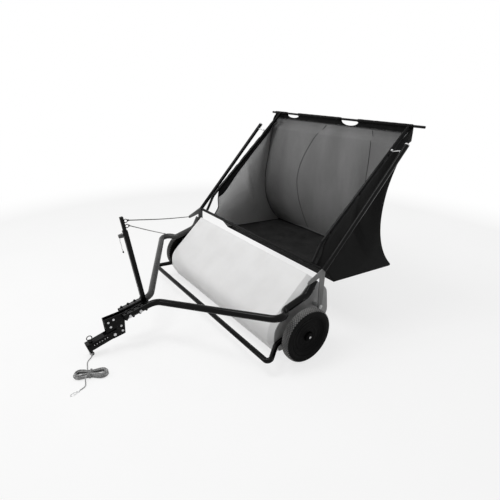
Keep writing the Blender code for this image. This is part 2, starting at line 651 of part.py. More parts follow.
def make_tufts(row, base):
    """One backing strip with a line of four-sided tufts growing out of it."""
    bm = bmesh.new()
    half = STRIP_WIDTH / 2
    length = TUFTS_PER_ROW * TUFT_PITCH
    xs = [i * TUFT_PITCH - length / 2 for i in range(TUFTS_PER_ROW + 1)]
    low = [[bm.verts.new((x, y, base)) for y in (-half, half)] for x in (xs[0], xs[-1])]
    top = [[bm.verts.new((x, y, base + STRIP_HEIGHT)) for y in (-half, half)] for x in xs]
    bm.faces.new((low[0][0], low[0][1], low[1][1], low[1][0]))
    bm.faces.new((low[0][0], top[0][0], top[0][1], low[0][1]))
    bm.faces.new((low[1][0], low[1][1], top[-1][1], top[-1][0]))
    bm.faces.new([low[0][0], low[1][0]] + [pair[0] for pair in reversed(top)])
    bm.faces.new([low[1][1], low[0][1]] + [pair[1] for pair in top])
    tips = []
    for i in range(TUFTS_PER_ROW):
        tips.append(bm.faces.new((top[i][0], top[i + 1][0], top[i + 1][1], top[i][1])))
    grown = bmesh.ops.extrude_discrete_faces(bm, faces=tips)["faces"]
    for face in grown:
        middle = face.calc_center_median()
        for vert in face.verts:
            vert.co.x = middle.x + math.copysign(TUFT_TIP / 2, vert.co.x - middle.x)
            vert.co.y = math.copysign(TUFT_TIP / 2, vert.co.y)
            vert.co.z = BRUSH_RADIUS
    bmesh.ops.recalc_face_normals(bm, faces=bm.faces)
    obj = mesh_object(f"bristle_row_{row + 1}", bm, "brush", "bristle")
    turn = Matrix.Rotation(2 * math.pi * row / BRUSH_ROWS, 4, "X")
    obj.matrix_basis = Matrix.Translation((0, BRUSH_Y, BRUSH_Z)) @ turn


# ------------------------------------------------------------------ drawbar, guard bar and hitch
def side_path(points, side):
    return [Vector((side * p[0], p[1], p[2])) for p in points]


def make_drawbar():
    front = (DRAWBAR_FRONT_X, *DRAWBAR_FRONT)
    split = (DRAWBAR_FRONT_X, *DRAWBAR_SPLIT)
    corners = [front, split, DRAWBAR_ELBOW, (DRAWBAR_PLATE_X, *DRAWBAR_TUCK),
               (DRAWBAR_PLATE_X, *DRAWBAR_RISE), (DRAWBAR_PLATE_X, *DRAWBAR_END)]
    bends = (DRAWBAR_SPLIT_BEND, DRAWBAR_ELBOW_BEND, DRAWBAR_TUCK_BEND, DRAWBAR_RISE_BEND)
    path = fillet_path(corners, bends, 13.0)
    for side, name in ((1, "left"), (-1, "right")):
        rod = tube("drawbar_tube_" + name, side_path(path, side), DRAWBAR_RADIUS, "chassis", "black_paint")
        rod = as_mesh(rod, "chassis", "black_paint")
        for k, place in enumerate(hitch_bolt_places()[:-1]):
            combine(rod, f"bolt_hole_{name}_{k + 1}", bolt_cutter(place), "DIFFERENCE")


def make_guard():
    corners = [(GUARD_PLATE_X, *GUARD_END), (GUARD_PLATE_X, *GUARD_TUCK), GUARD_CORNER]
    half = fillet_path([*corners, (0, *GUARD_CORNER[1:])], (GUARD_TUCK_BEND, GUARD_CORNER_BEND), 15.0)[:-1]
    path = half + [Vector((-p.x, p.y, p.z)) for p in reversed(half)]
    tube("front_guard_bar", path, GUARD_RADIUS, "chassis", "black_paint")


def make_hitch():
    for side, name in ((1, "left"), (-1, "right")):
        side_plate("hitch_plate_" + name, HITCH_OUTLINE, side * (HITCH_PLATE_IN + HITCH_PLATE_OUT) / 2,
                   HITCH_PLATE, "chassis", "black_paint",
                   [circle(place, BOLT_SHANK + GAP, 12) for place in hitch_bolt_places()])
    make_tongue()
    make_pin()


def tongue_point(back, up):
    """Centre-plane point on the tongue: back from its mouth, and up square to its slope."""
    y = TONGUE_FRONT[0] + back * math.cos(SLOPE) - up * math.sin(SLOPE)
    z = TONGUE_FRONT[1] + back * math.sin(SLOPE) + up * math.cos(SLOPE)
    return Vector((0, y, z))


def make_tongue():
    """Square-section tongue whose cheeks run back outside the hitch plates."""
    turn = Matrix.Rotation(SLOPE, 4, "X")
    inner = 2 * (HITCH_PLATE_OUT + GAP)
    outer = inner + 2 * TONGUE_WALL
    bm = bmesh.new()
    add_box(bm, (outer, TONGUE_LENGTH, TONGUE_HEIGHT), tongue_point(TONGUE_LENGTH / 2, 0), turn)
    tongue = mesh_object("hitch_tongue", bm, "chassis", "black_paint")
    bore = bmesh.new()
    middle = tongue_point(TONGUE_LENGTH / 2, 0)
    add_box(bore, (inner, 2 * TONGUE_LENGTH, TONGUE_HEIGHT - 2 * TONGUE_WALL), middle, turn)
    combine(tongue, "tongue_bore", bore, "DIFFERENCE")
    gap = bmesh.new()
    behind = tongue_point(TONGUE_STRAPS + TONGUE_LENGTH / 2, 0)
    add_box(gap, (inner, TONGUE_LENGTH, 2 * TONGUE_HEIGHT), behind, turn)
    combine(tongue, "tongue_gap", gap, "DIFFERENCE")
    combine(tongue, "tongue_bolt_hole", bolt_cutter(hitch_bolt_places()[-1]), "DIFFERENCE")
    hole = bmesh.new()
    reach = (PIN_RADIUS + GAP) / math.cos(math.pi / 16)
    add_rod(hole, (0, PIN_Y, -TONGUE_HEIGHT), (0, PIN_Y, 3 * TONGUE_HEIGHT), reach, 16)
    combine(tongue, "pin_hole", hole, "DIFFERENCE")


def tongue_top_at(y):
    """Height of the tongue's top face above a point on the centre plane."""
    edge = tongue_point(0, TONGUE_HEIGHT / 2)
    return edge.z + (y - edge.y) * math.tan(SLOPE)


def make_pin():
    """Hitch pin with a pull ring, standing on the ground, and the clip through its foot."""
    bm = bmesh.new()
    head = tongue_top_at(PIN_Y + PIN_COLLAR_RADIUS) + GAP
    add_rod(bm, (0, PIN_Y, 0), (0, PIN_Y, head + PIN_COLLAR / 3), PIN_RADIUS, 16)
    collar = bmesh.new()
    add_rod(collar, (0, PIN_Y, head), (0, PIN_Y, head + PIN_COLLAR), PIN_COLLAR_RADIUS, 16)
    pin = union("hitch_pin", bm, collar, "chassis", "dark_steel")
    hole = bmesh.new()
    add_rod(hole, (-0.05, PIN_Y, CLIP_Z), (0.05, PIN_Y, CLIP_Z), CLIP_WIRE + GAP, 8)
    combine(pin, "clip_hole", hole, "DIFFERENCE")
    ring = bmesh.new()
    add_ring(ring, (0, PIN_Y, head + PIN_COLLAR + PIN_RING), Vector((0, 1, 0)), Vector((0, 0, 1)), PIN_RING,
             RING_WIRE)
    combine(pin, "pin_ring", ring, "UNION")
    side = PIN_RADIUS + CLIP_REACH
    bow = [(side + x, y) for x, y in CLIP_BOW]
    touch = -PIN_RADIUS - CLIP_WIRE - GAP
    back = [(side, -PIN_RADIUS - CLIP_CLEAR), (0, touch), (-side, -PIN_RADIUS - CLIP_REACH)]
    bent = [Vector((x, PIN_Y + y, CLIP_Z)) for x, y in [(-side, 0), (side, 0), *bow, *back]]
    tube("pin_clip", bent, CLIP_WIRE, "chassis", "zinc", 2)


def drawbar_at(y):
    """Height of a drawbar tube's centre on its front run."""
    share = (y - DRAWBAR_FRONT[0]) / (DRAWBAR_SPLIT[0] - DRAWBAR_FRONT[0])
    return DRAWBAR_FRONT[1] + share * (DRAWBAR_SPLIT[1] - DRAWBAR_FRONT[1])


def hitch_bolt_places():
    """Centre lines, as (y, z), of the two bolts through the tubes and of the one through the tongue."""
    tongue_bolt = tongue_point(TONGUE_CHEEK_BOLT, 0)
    return [(y, drawbar_at(y)) for y in HITCH_BOLT_Y] + [(tongue_bolt.y, tongue_bolt.z)]


def make_hitch_bolts():
    """Bolts across the hitch: a head on the left, a nut on the right."""
    tube_side = DRAWBAR_FRONT_X + DRAWBAR_RADIUS + GAP
    cheek = HITCH_PLATE_OUT + 2 * GAP + TONGUE_WALL
    for k, (place, seat) in enumerate(zip(hitch_bolt_places(), (tube_side, tube_side, cheek))):
        shank, ends = bmesh.new(), bmesh.new()
        reach = seat + BOLT_HEAD / 2
        add_rod(shank, (-reach, *place), (reach, *place), BOLT_SHANK, 12)
        for side in (1, -1):
            add_rod(ends, (side * seat, *place), (side * (seat + BOLT_HEAD), *place), BOLT_RADIUS, 6)
        union(f"hitch_bolt_{k + 1}", shank, ends, "chassis", "zinc")


def bolt_cutter(place):
    """A rod across the hitch that cuts a bolt's holes."""
    bm = bmesh.new()
    reach = DRAWBAR_FRONT_X + 2 * DRAWBAR_RADIUS
    add_rod(bm, (-reach, *place), (reach, *place), (BOLT_SHANK + GAP) / math.cos(math.pi / 12), 12)
    return bm


# ------------------------------------------------------------------ rope post
def square_section(size):
    half = size / 2
    return [(-half, -half), (half, -half), (half, half), (-half, half)]


def make_post():
    """Square post that leans forward, a bar that telescopes in it, its clamp knob and rope eyes."""
    lean = Matrix.Rotation(math.radians(POST_LEAN), 4, "X")
    curve = bpy.data.curves.new("post_lower", "CURVE")
    curve.dimensions = "2D"
    curve.fill_mode = "BOTH"
    curve.extrude = POST_LOWER_LENGTH / 2
    for size in (POST_SIZE, POST_SIZE - 2 * POST_WALL):
        spline = curve.splines.new("POLY")
        spline.points.add(3)
        for point, (x, y) in zip(spline.points, square_section(size)):
            point.co = (x, y, 0, 1)
        spline.use_cyclic_u = True
    lower = bpy.data.objects.new("post_lower", curve)
    lower.matrix_basis = Matrix.Translation(POST_BASE + POST_UP * POST_LOWER_LENGTH / 2) @ lean
    PARTS.objects.link(lower)
    finish(lower, "chassis", "black_paint")

    bar, eyes = bmesh.new(), bmesh.new()
    middle = POST_LOWER_LENGTH + POST_UPPER_SHOWS - POST_UPPER_LENGTH / 2
    add_box(bar, (POST_UPPER_SIZE, POST_UPPER_SIZE, POST_UPPER_LENGTH), POST_BASE + POST_UP * middle, lean)
    for rise in EYE_HEIGHTS:
        add_ring(eyes, eye_centre(rise), POST_BACK, POST_UP, EYE_RADIUS, EYE_WIRE)
    union("post_upper", bar, eyes, "post_top", "black_paint")

    bm = bmesh.new()
    face = KNOB_AT - POST_BACK * (POST_SIZE / 2 + GAP)
    near = face - POST_BACK * POST_KNOB_STAND
    far_radius = POST_KNOB_RADIUS * POST_KNOB_TAPER
    add_rod(bm, near, near - POST_BACK * POST_KNOB_LENGTH, POST_KNOB_RADIUS, 8, far_radius)
    stem = bmesh.new()
    add_rod(stem, face, near - POST_BACK * POST_KNOB_LENGTH / 3, POST_KNOB_STEM, 12)
    union("post_knob", bm, stem, "post_knob", "gear_nylon")


def eye_centre(rise):
    reach = POST_UPPER_SIZE / 2 + EYE_RADIUS
    return POST_BASE + POST_UP * (POST_LOWER_LENGTH + rise) + POST_BACK * reach


# ------------------------------------------------------------------ hopper
TUBE_WAY = (Vector(HOPPER_TUBE_TOP) - Vector(HOPPER_TUBE_LOW)).normalized()
BAG_WAY = (Vector(CROSSBAR) - Vector(BAG_TUBE_LOW)).normalized()
BAG_HANG = Vector((BAG_WAY.y, -BAG_WAY.x)) * (BAG_TUBE_RADIUS + GAP)


def arm_outline():
    """Strap from the pivot up to the tube's end, with a forward ear at its top."""
    across = Vector((-TUBE_WAY.y, TUBE_WAY.x)) * ARM_WIDTH / 2
    seat = Vector(HOPPER_TUBE_LOW) - TUBE_WAY * GAP
    half = ARM_WIDTH / 2
    foot = [(PIVOT[0] + half * math.cos(a), PIVOT[1] + half * math.sin(a))
            for a in np.linspace(-math.pi, 0, 7)]
    lug = Vector(ARM_LUG)
    reach = (seat + across - lug).normalized()
    square = Vector((-reach.y, reach.x)) * ARM_LUG_HALF
    tip = lug - reach * ARM_LUG_HALF
    ear = [lug + square, tip + square * ARM_LUG_TIP, tip - square * ARM_LUG_TIP, lug - square]
    head = [tuple(p) for p in (seat - across, seat + across, *ear)]
    return [*foot, *head, (PIVOT[0] - half, PIVOT[1] + ARM_WAIST)]


def make_hopper():
    outline = arm_outline()
    pivot_hole = circle(PIVOT, PIVOT_RADIUS + RUN_GAP, 12)
    rise = (Vector(BAG_TUBE_LOW) - Vector(FRONT_BAR)).normalized()
    bag_low = Vector(FRONT_BAR) + rise * (FRONT_BAR_RADIUS + GAP)
    bag_top = Vector(CROSSBAR) - BAG_WAY * (CROSSBAR_RADIUS + GAP)
    for side, name in ((1, "left"), (-1, "right")):
        side_plate("hopper_arm_" + name, outline, side * HOPPER_TUBE_X, ARM_THICKNESS, "hopper", "zinc",
                   (pivot_hole,))
        low = Vector((side * HOPPER_TUBE_X, *HOPPER_TUBE_LOW))
        top = Vector((side * HOPPER_TUBE_X, *HOPPER_TUBE_TOP))
        tube("hopper_tube_" + name, [low, top], HOPPER_TUBE_RADIUS, "hopper", "black_paint")
        x = side * BAG_TUBE_X
        path = fillet_path([(x, *bag_low), (x, *BAG_TUBE_LOW), (x, *bag_top)], (0.06,), 8.0)
        tube("bag_tube_" + name, path, BAG_TUBE_RADIUS, "hopper", "black_paint", 2)
    bar = HOPPER_TUBE_X - HOPPER_TUBE_RADIUS - GAP
    tube("hopper_front_bar", side_bar(bar, FRONT_BAR), FRONT_BAR_RADIUS, "hopper", "black_paint", 2)
    tube("hopper_crossbar", side_bar(CROSSBAR_HALF, CROSSBAR), CROSSBAR_RADIUS, "hopper", "dark_steel", 2)
    make_links()
    make_pivots()


def side_bar(half, place):
    return [Vector((-half, *place)), Vector((half, *place))]


def make_links():
    """Short bars between the outer tubes and the bag frame."""
    link_share = (LINK_Y - HOPPER_TUBE_LOW[0]) / (HOPPER_TUBE_TOP[0] - HOPPER_TUBE_LOW[0])
    outer = Vector(HOPPER_TUBE_LOW).lerp(Vector(HOPPER_TUBE_TOP), link_share)
    along = (outer - Vector(BAG_TUBE_LOW)).dot(BAG_WAY)
    inner = Vector(BAG_TUBE_LOW) + BAG_WAY * along
    for side, name in ((1, "left"), (-1, "right")):
        start = (side * (BAG_TUBE_X + BAG_TUBE_RADIUS + GAP), *inner)
        end = (side * (HOPPER_TUBE_X - HOPPER_TUBE_RADIUS - GAP), *outer)
        bm = bmesh.new()
        add_rod(bm, start, end, LINK_RADIUS, 12)
        mesh_object("frame_link_" + name, bm, "hopper", "zinc")


def make_pivots():
    """Pivot bolts whose shoulders hold the arms clear of the drawbar, with nuts outside the arms."""
    arm_in = HOPPER_TUBE_X - ARM_THICKNESS / 2 - GAP
    nut_at = HOPPER_TUBE_X + ARM_THICKNESS / 2 + GAP
    for side, name in ((1, "left"), (-1, "right")):
        ends = [side * x for x in (PLATE_OUTER_X + GAP, arm_in, nut_at + PIVOT_HEAD / 2)]
        bolt = shoulder_bolt("pivot_bolt_" + name, PIVOT, ends, (PIVOT_RADIUS, PIVOT_SLEEVE), PIVOT_HEAD_RADIUS,
                             PIVOT_HEAD)
        nut = bmesh.new()
        add_rod(nut, (side * nut_at, *PIVOT), (side * (nut_at + PIVOT_HEAD), *PIVOT), PIVOT_HEAD_RADIUS, 6)
        combine(bolt, "pivot_nut_" + name, nut, "UNION")


# ------------------------------------------------------------------ bag
def divided(start, end, count):
    """Points from start towards end, without the end."""
    return [Vector(start).lerp(Vector(end), k / count) for k in range(count)]


def bag_profile():
    """The floor and flat rear wall, from the floor's front edge to the crossbar."""
    top = Vector(CROSSBAR) + BAG_HANG
    corners = [(*BAG_FRONT_EDGE[-1], 0), (BAG_REAR_Y, BAG_FLOOR_Z, 0), (top.x, top.y, 0)]
    bend = [p.to_2d() for p in fillet_path(corners, (BAG_CORNER,), 22.0)]
    return divided(bend[0], bend[1], 4) + bend[1:-2] + divided(bend[-2], top, 7) + [top]


def rear_pull(point, x):
    """How far forward the rear wall draws in, most at half height and at the corners."""
    top = CROSSBAR[1] + BAG_HANG.y
    rise = (point.y - BAG_FLOOR_Z) / (top - BAG_FLOOR_Z)
    if point.x < BAG_REAR_Y - BAG_CORNER or rise <= 0:
        return 0.0
    depth = BAG_REAR_PULL + (BAG_CORNER_PULL - BAG_REAR_PULL) * (x / BAG_TUBE_X) ** 2
    return depth * math.sin(math.pi * rise ** BAG_PULL_LOW)


def bag_rear():
    """The rearmost y of the bag, in its centre plane."""
    return max(p.x - rear_pull(p, 0) for p in bag_profile())


def bag_column(share, low):
    """One side's points from its tube down to the floor or rear wall, as (x, (y, z))."""
    first = Vector(BAG_TUBE_LOW) + BAG_WAY * BAG_SIDE_START
    high = first.lerp(Vector(CROSSBAR), share) + BAG_HANG
    fade = max(0.0, 1 - 3 * share) ** 2
    front = [first + BAG_HANG, *[Vector(p) for p in BAG_FRONT_EDGE]]
    column = []
    for k, edge in enumerate(front):
        v = k / (len(front) - 1)
        place = high.lerp(low, v).lerp(edge, fade)
        pull = BAG_SIDE_PULL * math.sin(math.pi * v) * math.sin(math.pi * min(1.0, 0.15 + share))
        column.append((BAG_TUBE_X - pull, place))
    return column


def make_bag():
    """Open-topped cloth shell: floor, rear wall, and sides that hang from the frame's tubes."""
    profile = bag_profile()
    bm = bmesh.new()
    rows = []
    for i, point in enumerate(profile):
        share = i / (len(profile) - 1)
        corner = Vector((point.x - rear_pull(point, BAG_TUBE_X), point.y))
        column = bag_column(share, corner)
        row = [bm.verts.new((-x, *p)) for x, p in column]
        for x in np.linspace(-BAG_TUBE_X, BAG_TUBE_X, BAG_COLUMNS + 1)[1:-1]:
            row.append(bm.verts.new((x, point.x - rear_pull(point, x), point.y)))
        row += [bm.verts.new((x, *p)) for x, p in reversed(column)]
        rows.append(row)
    for lower, upper in zip(rows, rows[1:]):
        for k in range(len(lower) - 1):
            bm.faces.new((lower[k], lower[k + 1], upper[k + 1], upper[k]))
    bmesh.ops.remove_doubles(bm, verts=bm.verts, dist=0.00005)
    bmesh.ops.dissolve_degenerate(bm, edges=bm.edges, dist=0.00005)
    bag = mesh_object("bag", bm, "hopper", "cloth")
    cloth = bag.modifiers.new("cloth", "SOLIDIFY")
    cloth.thickness = CLOTH
    cloth.offset = -1
    make_hooks()


def make_hooks():
    """Wire hooks from the front bar to the bag's lower front corners."""
    corner = Vector(BAG_FRONT_EDGE[2])
    bar = Vector(FRONT_BAR)
    way = (corner - bar).normalized()
    start = bar + way * (FRONT_BAR_RADIUS + GAP)
    end = corner - way * GAP
    for side, name in ((1, "left"), (-1, "right")):
        x = side * (BAG_TUBE_X - CLOTH / 2)
        bm = bmesh.new()
        add_rod(bm, (x, *start), (x, *end), HOOK_RADIUS, 8)
        mesh_object("bag_hook_" + name, bm, "hopper", "zinc")


# ------------------------------------------------------------------ ropes
def hank_point(turn):
    """A point of the hank after so many turns: piled flat loops, drawn in at the waist."""
    layers = int(HANK_TURNS / HANK_TURNS_PER_LAYER)
    layer, radius = 0.0, HANK_INNER + (HANK_TURNS_PER_LAYER - 0.25) * HANK_STEP
    for k in range(layers + 1):
        start = 0.0 if k == 0 else k * HANK_TURNS_PER_LAYER + 0.25
        end = (k + 1) * HANK_TURNS_PER_LAYER - 0.25
        radius += (-1 if k % 2 == 0 else 1) * HANK_STEP * min(max(turn - start, 0), end - start)
        layer += min(max((turn - end) / 0.5, 0), 1)
    phase = (turn + 0.125) % 1.0
    quarter = 0.25
    L = HANK_HALF_RUN
    if phase < quarter:
        u, v = L - 2 * L * phase / quarter, radius
    elif phase < 2 * quarter:
        a = math.pi * (phase - quarter) / quarter
        u, v = -L - radius * math.sin(a), radius * math.cos(a)
    elif phase < 3 * quarter:
        u, v = -L + 2 * L * (phase - 2 * quarter) / quarter, -radius
    else:
        a = math.pi * (phase - 3 * quarter) / quarter
        u, v = L + radius * math.sin(a), -radius * math.cos(a)
    if abs(u) < L:
        v -= math.copysign(HANK_WAIST * math.cos(math.pi * u / (2 * L)) ** 2, v)
    u = -u    # so that the first loop's start faces the lead
    heading = math.radians(HANK_HEADING)
    x = HANK_CENTRE[0] + u * math.cos(heading) - v * math.sin(heading)
    y = HANK_CENTRE[1] + u * math.sin(heading) + v * math.cos(heading)
    return Vector((x, y, TIE_THICKNESS + 2 * GAP + ROPE_RADIUS + layer * HANK_LAYER))


def least_self_gap(points):
    """Least clear distance between turns of the hank that aren't next to each other along it."""
    places = np.array(points)
    least = 1.0
    for i in range(len(places) - LOOP_POINTS // 2):
        a, b = places[i + LOOP_POINTS // 2 - 4:-1], places[i + LOOP_POINTS // 2 - 3:]
        run = b - a
        share = np.clip(((places[i] - a) * run).sum(1) / (run * run).sum(1), 0, 1)
        least = min(least, np.linalg.norm(a + run * share[:, None] - places[i], axis=1).min())
    return least - 2 * ROPE_RADIUS


def make_ropes():
    hank = [hank_point(k / LOOP_POINTS) for k in range(round(HANK_TURNS * LOOP_POINTS) + 1)]
    tube("rope_hank", hank, ROPE_RADIUS, "chassis", "rope", 1)
    print(f"least gap between turns of the hank: {least_self_gap(hank) * 1000:.2f} mm")
    make_tie(hank)
    first, second, last, before = hank[0], hank[1], hank[-1], hank[-2]
    lead_end = first + (first - second).normalized() * GAP
    into = (first - second).normalized()
    lead = smooth_route([*LEAD_ROUTE, lead_end + into * 2 * ROPE_RADIUS], 4 * ROPE_RADIUS) + [lead_end]
    tube("rope_lead", lead, ROPE_RADIUS, "chassis", "rope", 2)
    out = (last - before).normalized()
    tail = smooth_route([last + out * 2 * ROPE_RADIUS, *TAIL_ROUTE], 4 * ROPE_RADIUS)
    tail.insert(0, last + out * GAP)
    tube("rope_tail", tail, ROPE_RADIUS, "chassis", "rope", 2)
    make_snap(tail[-1], (tail[-1] - tail[-2]).normalized())
    make_held_ropes()


def make_tie(hank):
    """Band round the hank's waist."""
    heading = math.radians(HANK_HEADING)
    centre = Vector((*HANK_CENTRE, 0))
    outer = HANK_INNER + (HANK_TURNS_PER_LAYER - 0.25) * HANK_STEP - HANK_WAIST + ROPE_RADIUS + TIE_CLEAR
    top = max(p.z for p in hank) + ROPE_RADIUS + GAP
    bm = bmesh.new()
    turn = Matrix.Rotation(heading, 4, "Z")
    thick = TIE_THICKNESS
    add_box(bm, (TIE_WIDTH, 2 * (outer + thick), top + thick), centre + Vector((0, 0, (top + thick) / 2)), turn)
    tie = mesh_object("hank_tie", bm, "chassis", "cloth")
    hole = bmesh.new()
    add_box(hole, (2 * TIE_WIDTH, 2 * outer, top - thick), centre + Vector((0, 0, (top + thick) / 2)), turn)
    combine(tie, "tie_hole", hole, "DIFFERENCE")


def make_snap(end, way):
    """Sheet-metal snap on the rope's end."""
    level = Vector((way.x, way.y, 0)).normalized()
    start = Vector((end.x, end.y, SNAP_WIRE + GAP)) + level * (GAP + SNAP_WIRE)
    across = Vector((-level.y, level.x, 0))
    outline = [(0, 0), *SNAP_HALF, (SNAP_LENGTH, 0), *[(a, -b) for a, b in reversed(SNAP_HALF)]]
    path = [start + level * a + across * b for a, b in outline]
    tube("rope_snap", path, SNAP_WIRE, "chassis", "zinc", 2, True)


def make_held_ropes():
    """The two ropes between the post's eyes and the machine's right side."""
    upper = eye_centre(EYE_HEIGHTS[1]) + POST_BACK * EYE_RADIUS
    lower = eye_centre(EYE_HEIGHTS[0]) + POST_BACK * EYE_RADIUS
    lug = Vector((-HOPPER_TUBE_X + ARM_THICKNESS / 2, *ARM_LUG))
    ends = (("rope_dump", upper, lug), ("rope_stay", lower, Vector(STAY_END)))
    for (name, start, end), sag in zip(ends, HELD_SAG):
        way = (end - start).normalized()
        a, b = start + way * EYE_REACH, end - way * (ROPE_RADIUS + GAP)
        middle = (a + b) / 2 - Vector((0, 0, sag))
        tube(name, smooth_route([a, middle, b], 0.03), ROPE_RADIUS, "chassis", "rope", 1)


make_hood()
make_end_plates()
make_bearings()
make_axles()
make_wheels()
make_gears()
make_brush()
make_drawbar()
make_guard()
make_hitch()
make_hitch_bolts()
make_post()
make_hopper()
make_bag()
make_ropes()
ORIGIN.location.y = -(bag_rear() + CLOTH + FRONT_Y) / 2
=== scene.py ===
"""Visual model of a tow-behind lawn sweeper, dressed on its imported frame. Units are metres."""
import json
import math
import random

import bmesh
import bpy
import numpy as np
from mathutils import Matrix, Vector

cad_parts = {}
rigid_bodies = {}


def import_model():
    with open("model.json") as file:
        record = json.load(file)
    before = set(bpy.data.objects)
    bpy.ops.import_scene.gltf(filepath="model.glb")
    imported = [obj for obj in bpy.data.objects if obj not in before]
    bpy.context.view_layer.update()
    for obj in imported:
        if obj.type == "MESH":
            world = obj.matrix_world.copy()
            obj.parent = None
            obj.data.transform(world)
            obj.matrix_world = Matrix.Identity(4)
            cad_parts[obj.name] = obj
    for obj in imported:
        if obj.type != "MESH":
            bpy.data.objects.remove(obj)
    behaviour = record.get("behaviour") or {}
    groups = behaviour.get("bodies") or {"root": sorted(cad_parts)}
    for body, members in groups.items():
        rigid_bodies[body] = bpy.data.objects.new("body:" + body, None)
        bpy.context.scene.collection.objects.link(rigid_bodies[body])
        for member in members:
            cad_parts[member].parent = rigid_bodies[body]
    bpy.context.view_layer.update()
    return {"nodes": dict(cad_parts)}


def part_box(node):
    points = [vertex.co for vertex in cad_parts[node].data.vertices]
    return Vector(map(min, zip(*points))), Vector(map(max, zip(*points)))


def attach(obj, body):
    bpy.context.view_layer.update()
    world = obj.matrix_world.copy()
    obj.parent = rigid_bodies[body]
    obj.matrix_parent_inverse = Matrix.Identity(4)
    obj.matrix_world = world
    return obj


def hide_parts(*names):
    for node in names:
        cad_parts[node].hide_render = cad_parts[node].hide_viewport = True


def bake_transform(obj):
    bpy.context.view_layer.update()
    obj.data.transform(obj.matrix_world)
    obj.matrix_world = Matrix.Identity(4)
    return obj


for old in list(bpy.data.objects):
    bpy.data.objects.remove(old)
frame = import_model()
random.seed(7)

# ------------------------------------------------------------------ layout from the wheel axle
TYRE_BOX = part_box("tyre_left")
SHIFT = (TYRE_BOX[0][1] + TYRE_BOX[1][1]) / 2      # the axle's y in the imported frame


SIDES = ((1, "left"), (-1, "right"))


def at(x, y, z):
    """A point given from the wheel axle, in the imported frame."""
    return Vector((x, y + SHIFT, z))


# ------------------------------------------------------------------ camera
AZIMUTH, ELEVATION = math.radians(54.8042), math.radians(23.0486)
camera_data = bpy.data.cameras.new("camera")
camera_data.lens = 29.088
camera_data.sensor_width = 36.0
camera_data.clip_end = 60.0
camera = bpy.data.objects.new("camera", camera_data)
bpy.context.scene.collection.objects.link(camera)
BACK = Vector((math.sin(AZIMUTH) * math.cos(ELEVATION), -math.cos(AZIMUTH) * math.cos(ELEVATION),
               math.sin(ELEVATION)))
RIGHT = Vector((math.cos(AZIMUTH), math.sin(AZIMUTH), 0))
camera.matrix_world = Matrix.Translation((1.6258, -1.0410 + SHIFT, 1.1462)) @ Matrix(
    (RIGHT, BACK.cross(RIGHT), BACK)).transposed().to_4x4()
bpy.context.scene.camera = camera
bpy.context.scene.view_settings.view_transform = "Standard"


# ------------------------------------------------------------------ materials
def grey(level, warm=0.0):
    """Linear colour of a screen grey from 0 to 255, a little warm or cool."""
    value = (level / 255) ** 2.2
    return (value * (1 + warm), value, value * (1 - warm), 1.0)


def add_node(tree, kind, inputs=(), **settings):
    """A shader node. Each input is a value or the socket that feeds it."""
    node = tree.nodes.new("ShaderNode" + kind)
    for key, value in settings.items():
        setattr(node, key, value)
    for key, value in dict(inputs).items():
        if isinstance(value, bpy.types.NodeSocket):
            tree.links.new(value, node.inputs[key])
        else:
            node.inputs[key].default_value = value
    return node


class Finish:
    """A Principled material and its node tree."""

    def __init__(self, name, roughness=0.5, metallic=0.0, **sockets):
        self.material = bpy.data.materials.new(name)
        self.material.use_nodes = True
        self.tree = self.material.node_tree
        self.shader = self.tree.nodes["Principled BSDF"]
        self.shader.inputs["Roughness"].default_value = roughness
        self.shader.inputs["Metallic"].default_value = metallic
        for key, value in sockets.items():
            self.shader.inputs[key.replace("_", " ")].default_value = value
        self.coordinates = self.tree.nodes.new("ShaderNodeTexCoord")
        self.height = None

    def node(self, kind, inputs=(), **settings):
        return add_node(self.tree, kind, inputs, **settings)

    def math(self, operation, a, b=0.0):
        return self.node("Math", {0: a, 1: b}, operation=operation).outputs[0]

    def noise(self, scale, detail=3.0, space="Object", stretch=None):
        place = self.coordinates.outputs[space]
        if stretch:
            place = self.node("Mapping", {"Vector": place, "Scale": stretch}).outputs[0]
        return self.node("TexNoise", {"Vector": place, "Scale": scale, "Detail": detail}).outputs[0]

    def ramp(self, value, low, high, start=0.35, end=0.65):
        """Mixes two colours by a value between start and end."""
        return self.mix(self.span(value, start, end), low, high)

    def mix(self, share, low, high):
        return self.node("Mix", {0: share, 6: low, 7: high}, data_type="RGBA").outputs[2]

    def span(self, value, start, end, low=0.0, high=1.0):
        """Takes start to end over to low to high."""
        return self.node("MapRange", {"Value": value, "From Min": start, "From Max": end, "To Min": low,
                                      "To Max": high}).outputs[0]

    def part(self, axis, space="Object"):
        """One coordinate, 0 to 2."""
        return self.node("SeparateXYZ", {0: self.coordinates.outputs[space]}).outputs[axis]

    def cells(self, scale, output):
        return self.node("TexVoronoi", {"Vector": self.coordinates.outputs["Object"],
                                        "Scale": scale}).outputs[output]

    def colour(self, socket):
        self.tree.links.new(socket, self.shader.inputs["Base Color"])

    def rough(self, value, low, high):
        self.tree.links.new(self.span(value, 0.3, 0.7, low, high), self.shader.inputs["Roughness"])

    def bump(self, height, distance, strength=1.0):
        node = self.node("Bump", {"Height": height, "Distance": distance, "Strength": strength})
        if self.height:
            self.tree.links.new(self.height, node.inputs["Normal"])
        self.height = node.outputs[0]
        self.tree.links.new(self.height, self.shader.inputs["Normal"])

    def lines(self, pitch, axis, space="UV"):
        """Rounded ridges across one axis of the coordinates, 0 between and 1 on a ridge."""
        return self.ridges(self.math("MULTIPLY", self.part(axis, space), math.pi / pitch))

    def ridges(self, turn):
        return self.math("ABSOLUTE", self.math("SINE", turn))


def paint(name, dark, light, low, high, grain=0.00006, scale=420.0, **sockets):
    """Sprayed or powder paint: soft mottle and a fine orange peel."""
    finish = Finish(name, **sockets)
    finish.colour(finish.ramp(finish.noise(9.0, 4.0), dark, light))
    finish.rough(finish.noise(26.0, 5.0), low, high)
    finish.bump(finish.noise(scale, 2.0), grain)
    return finish


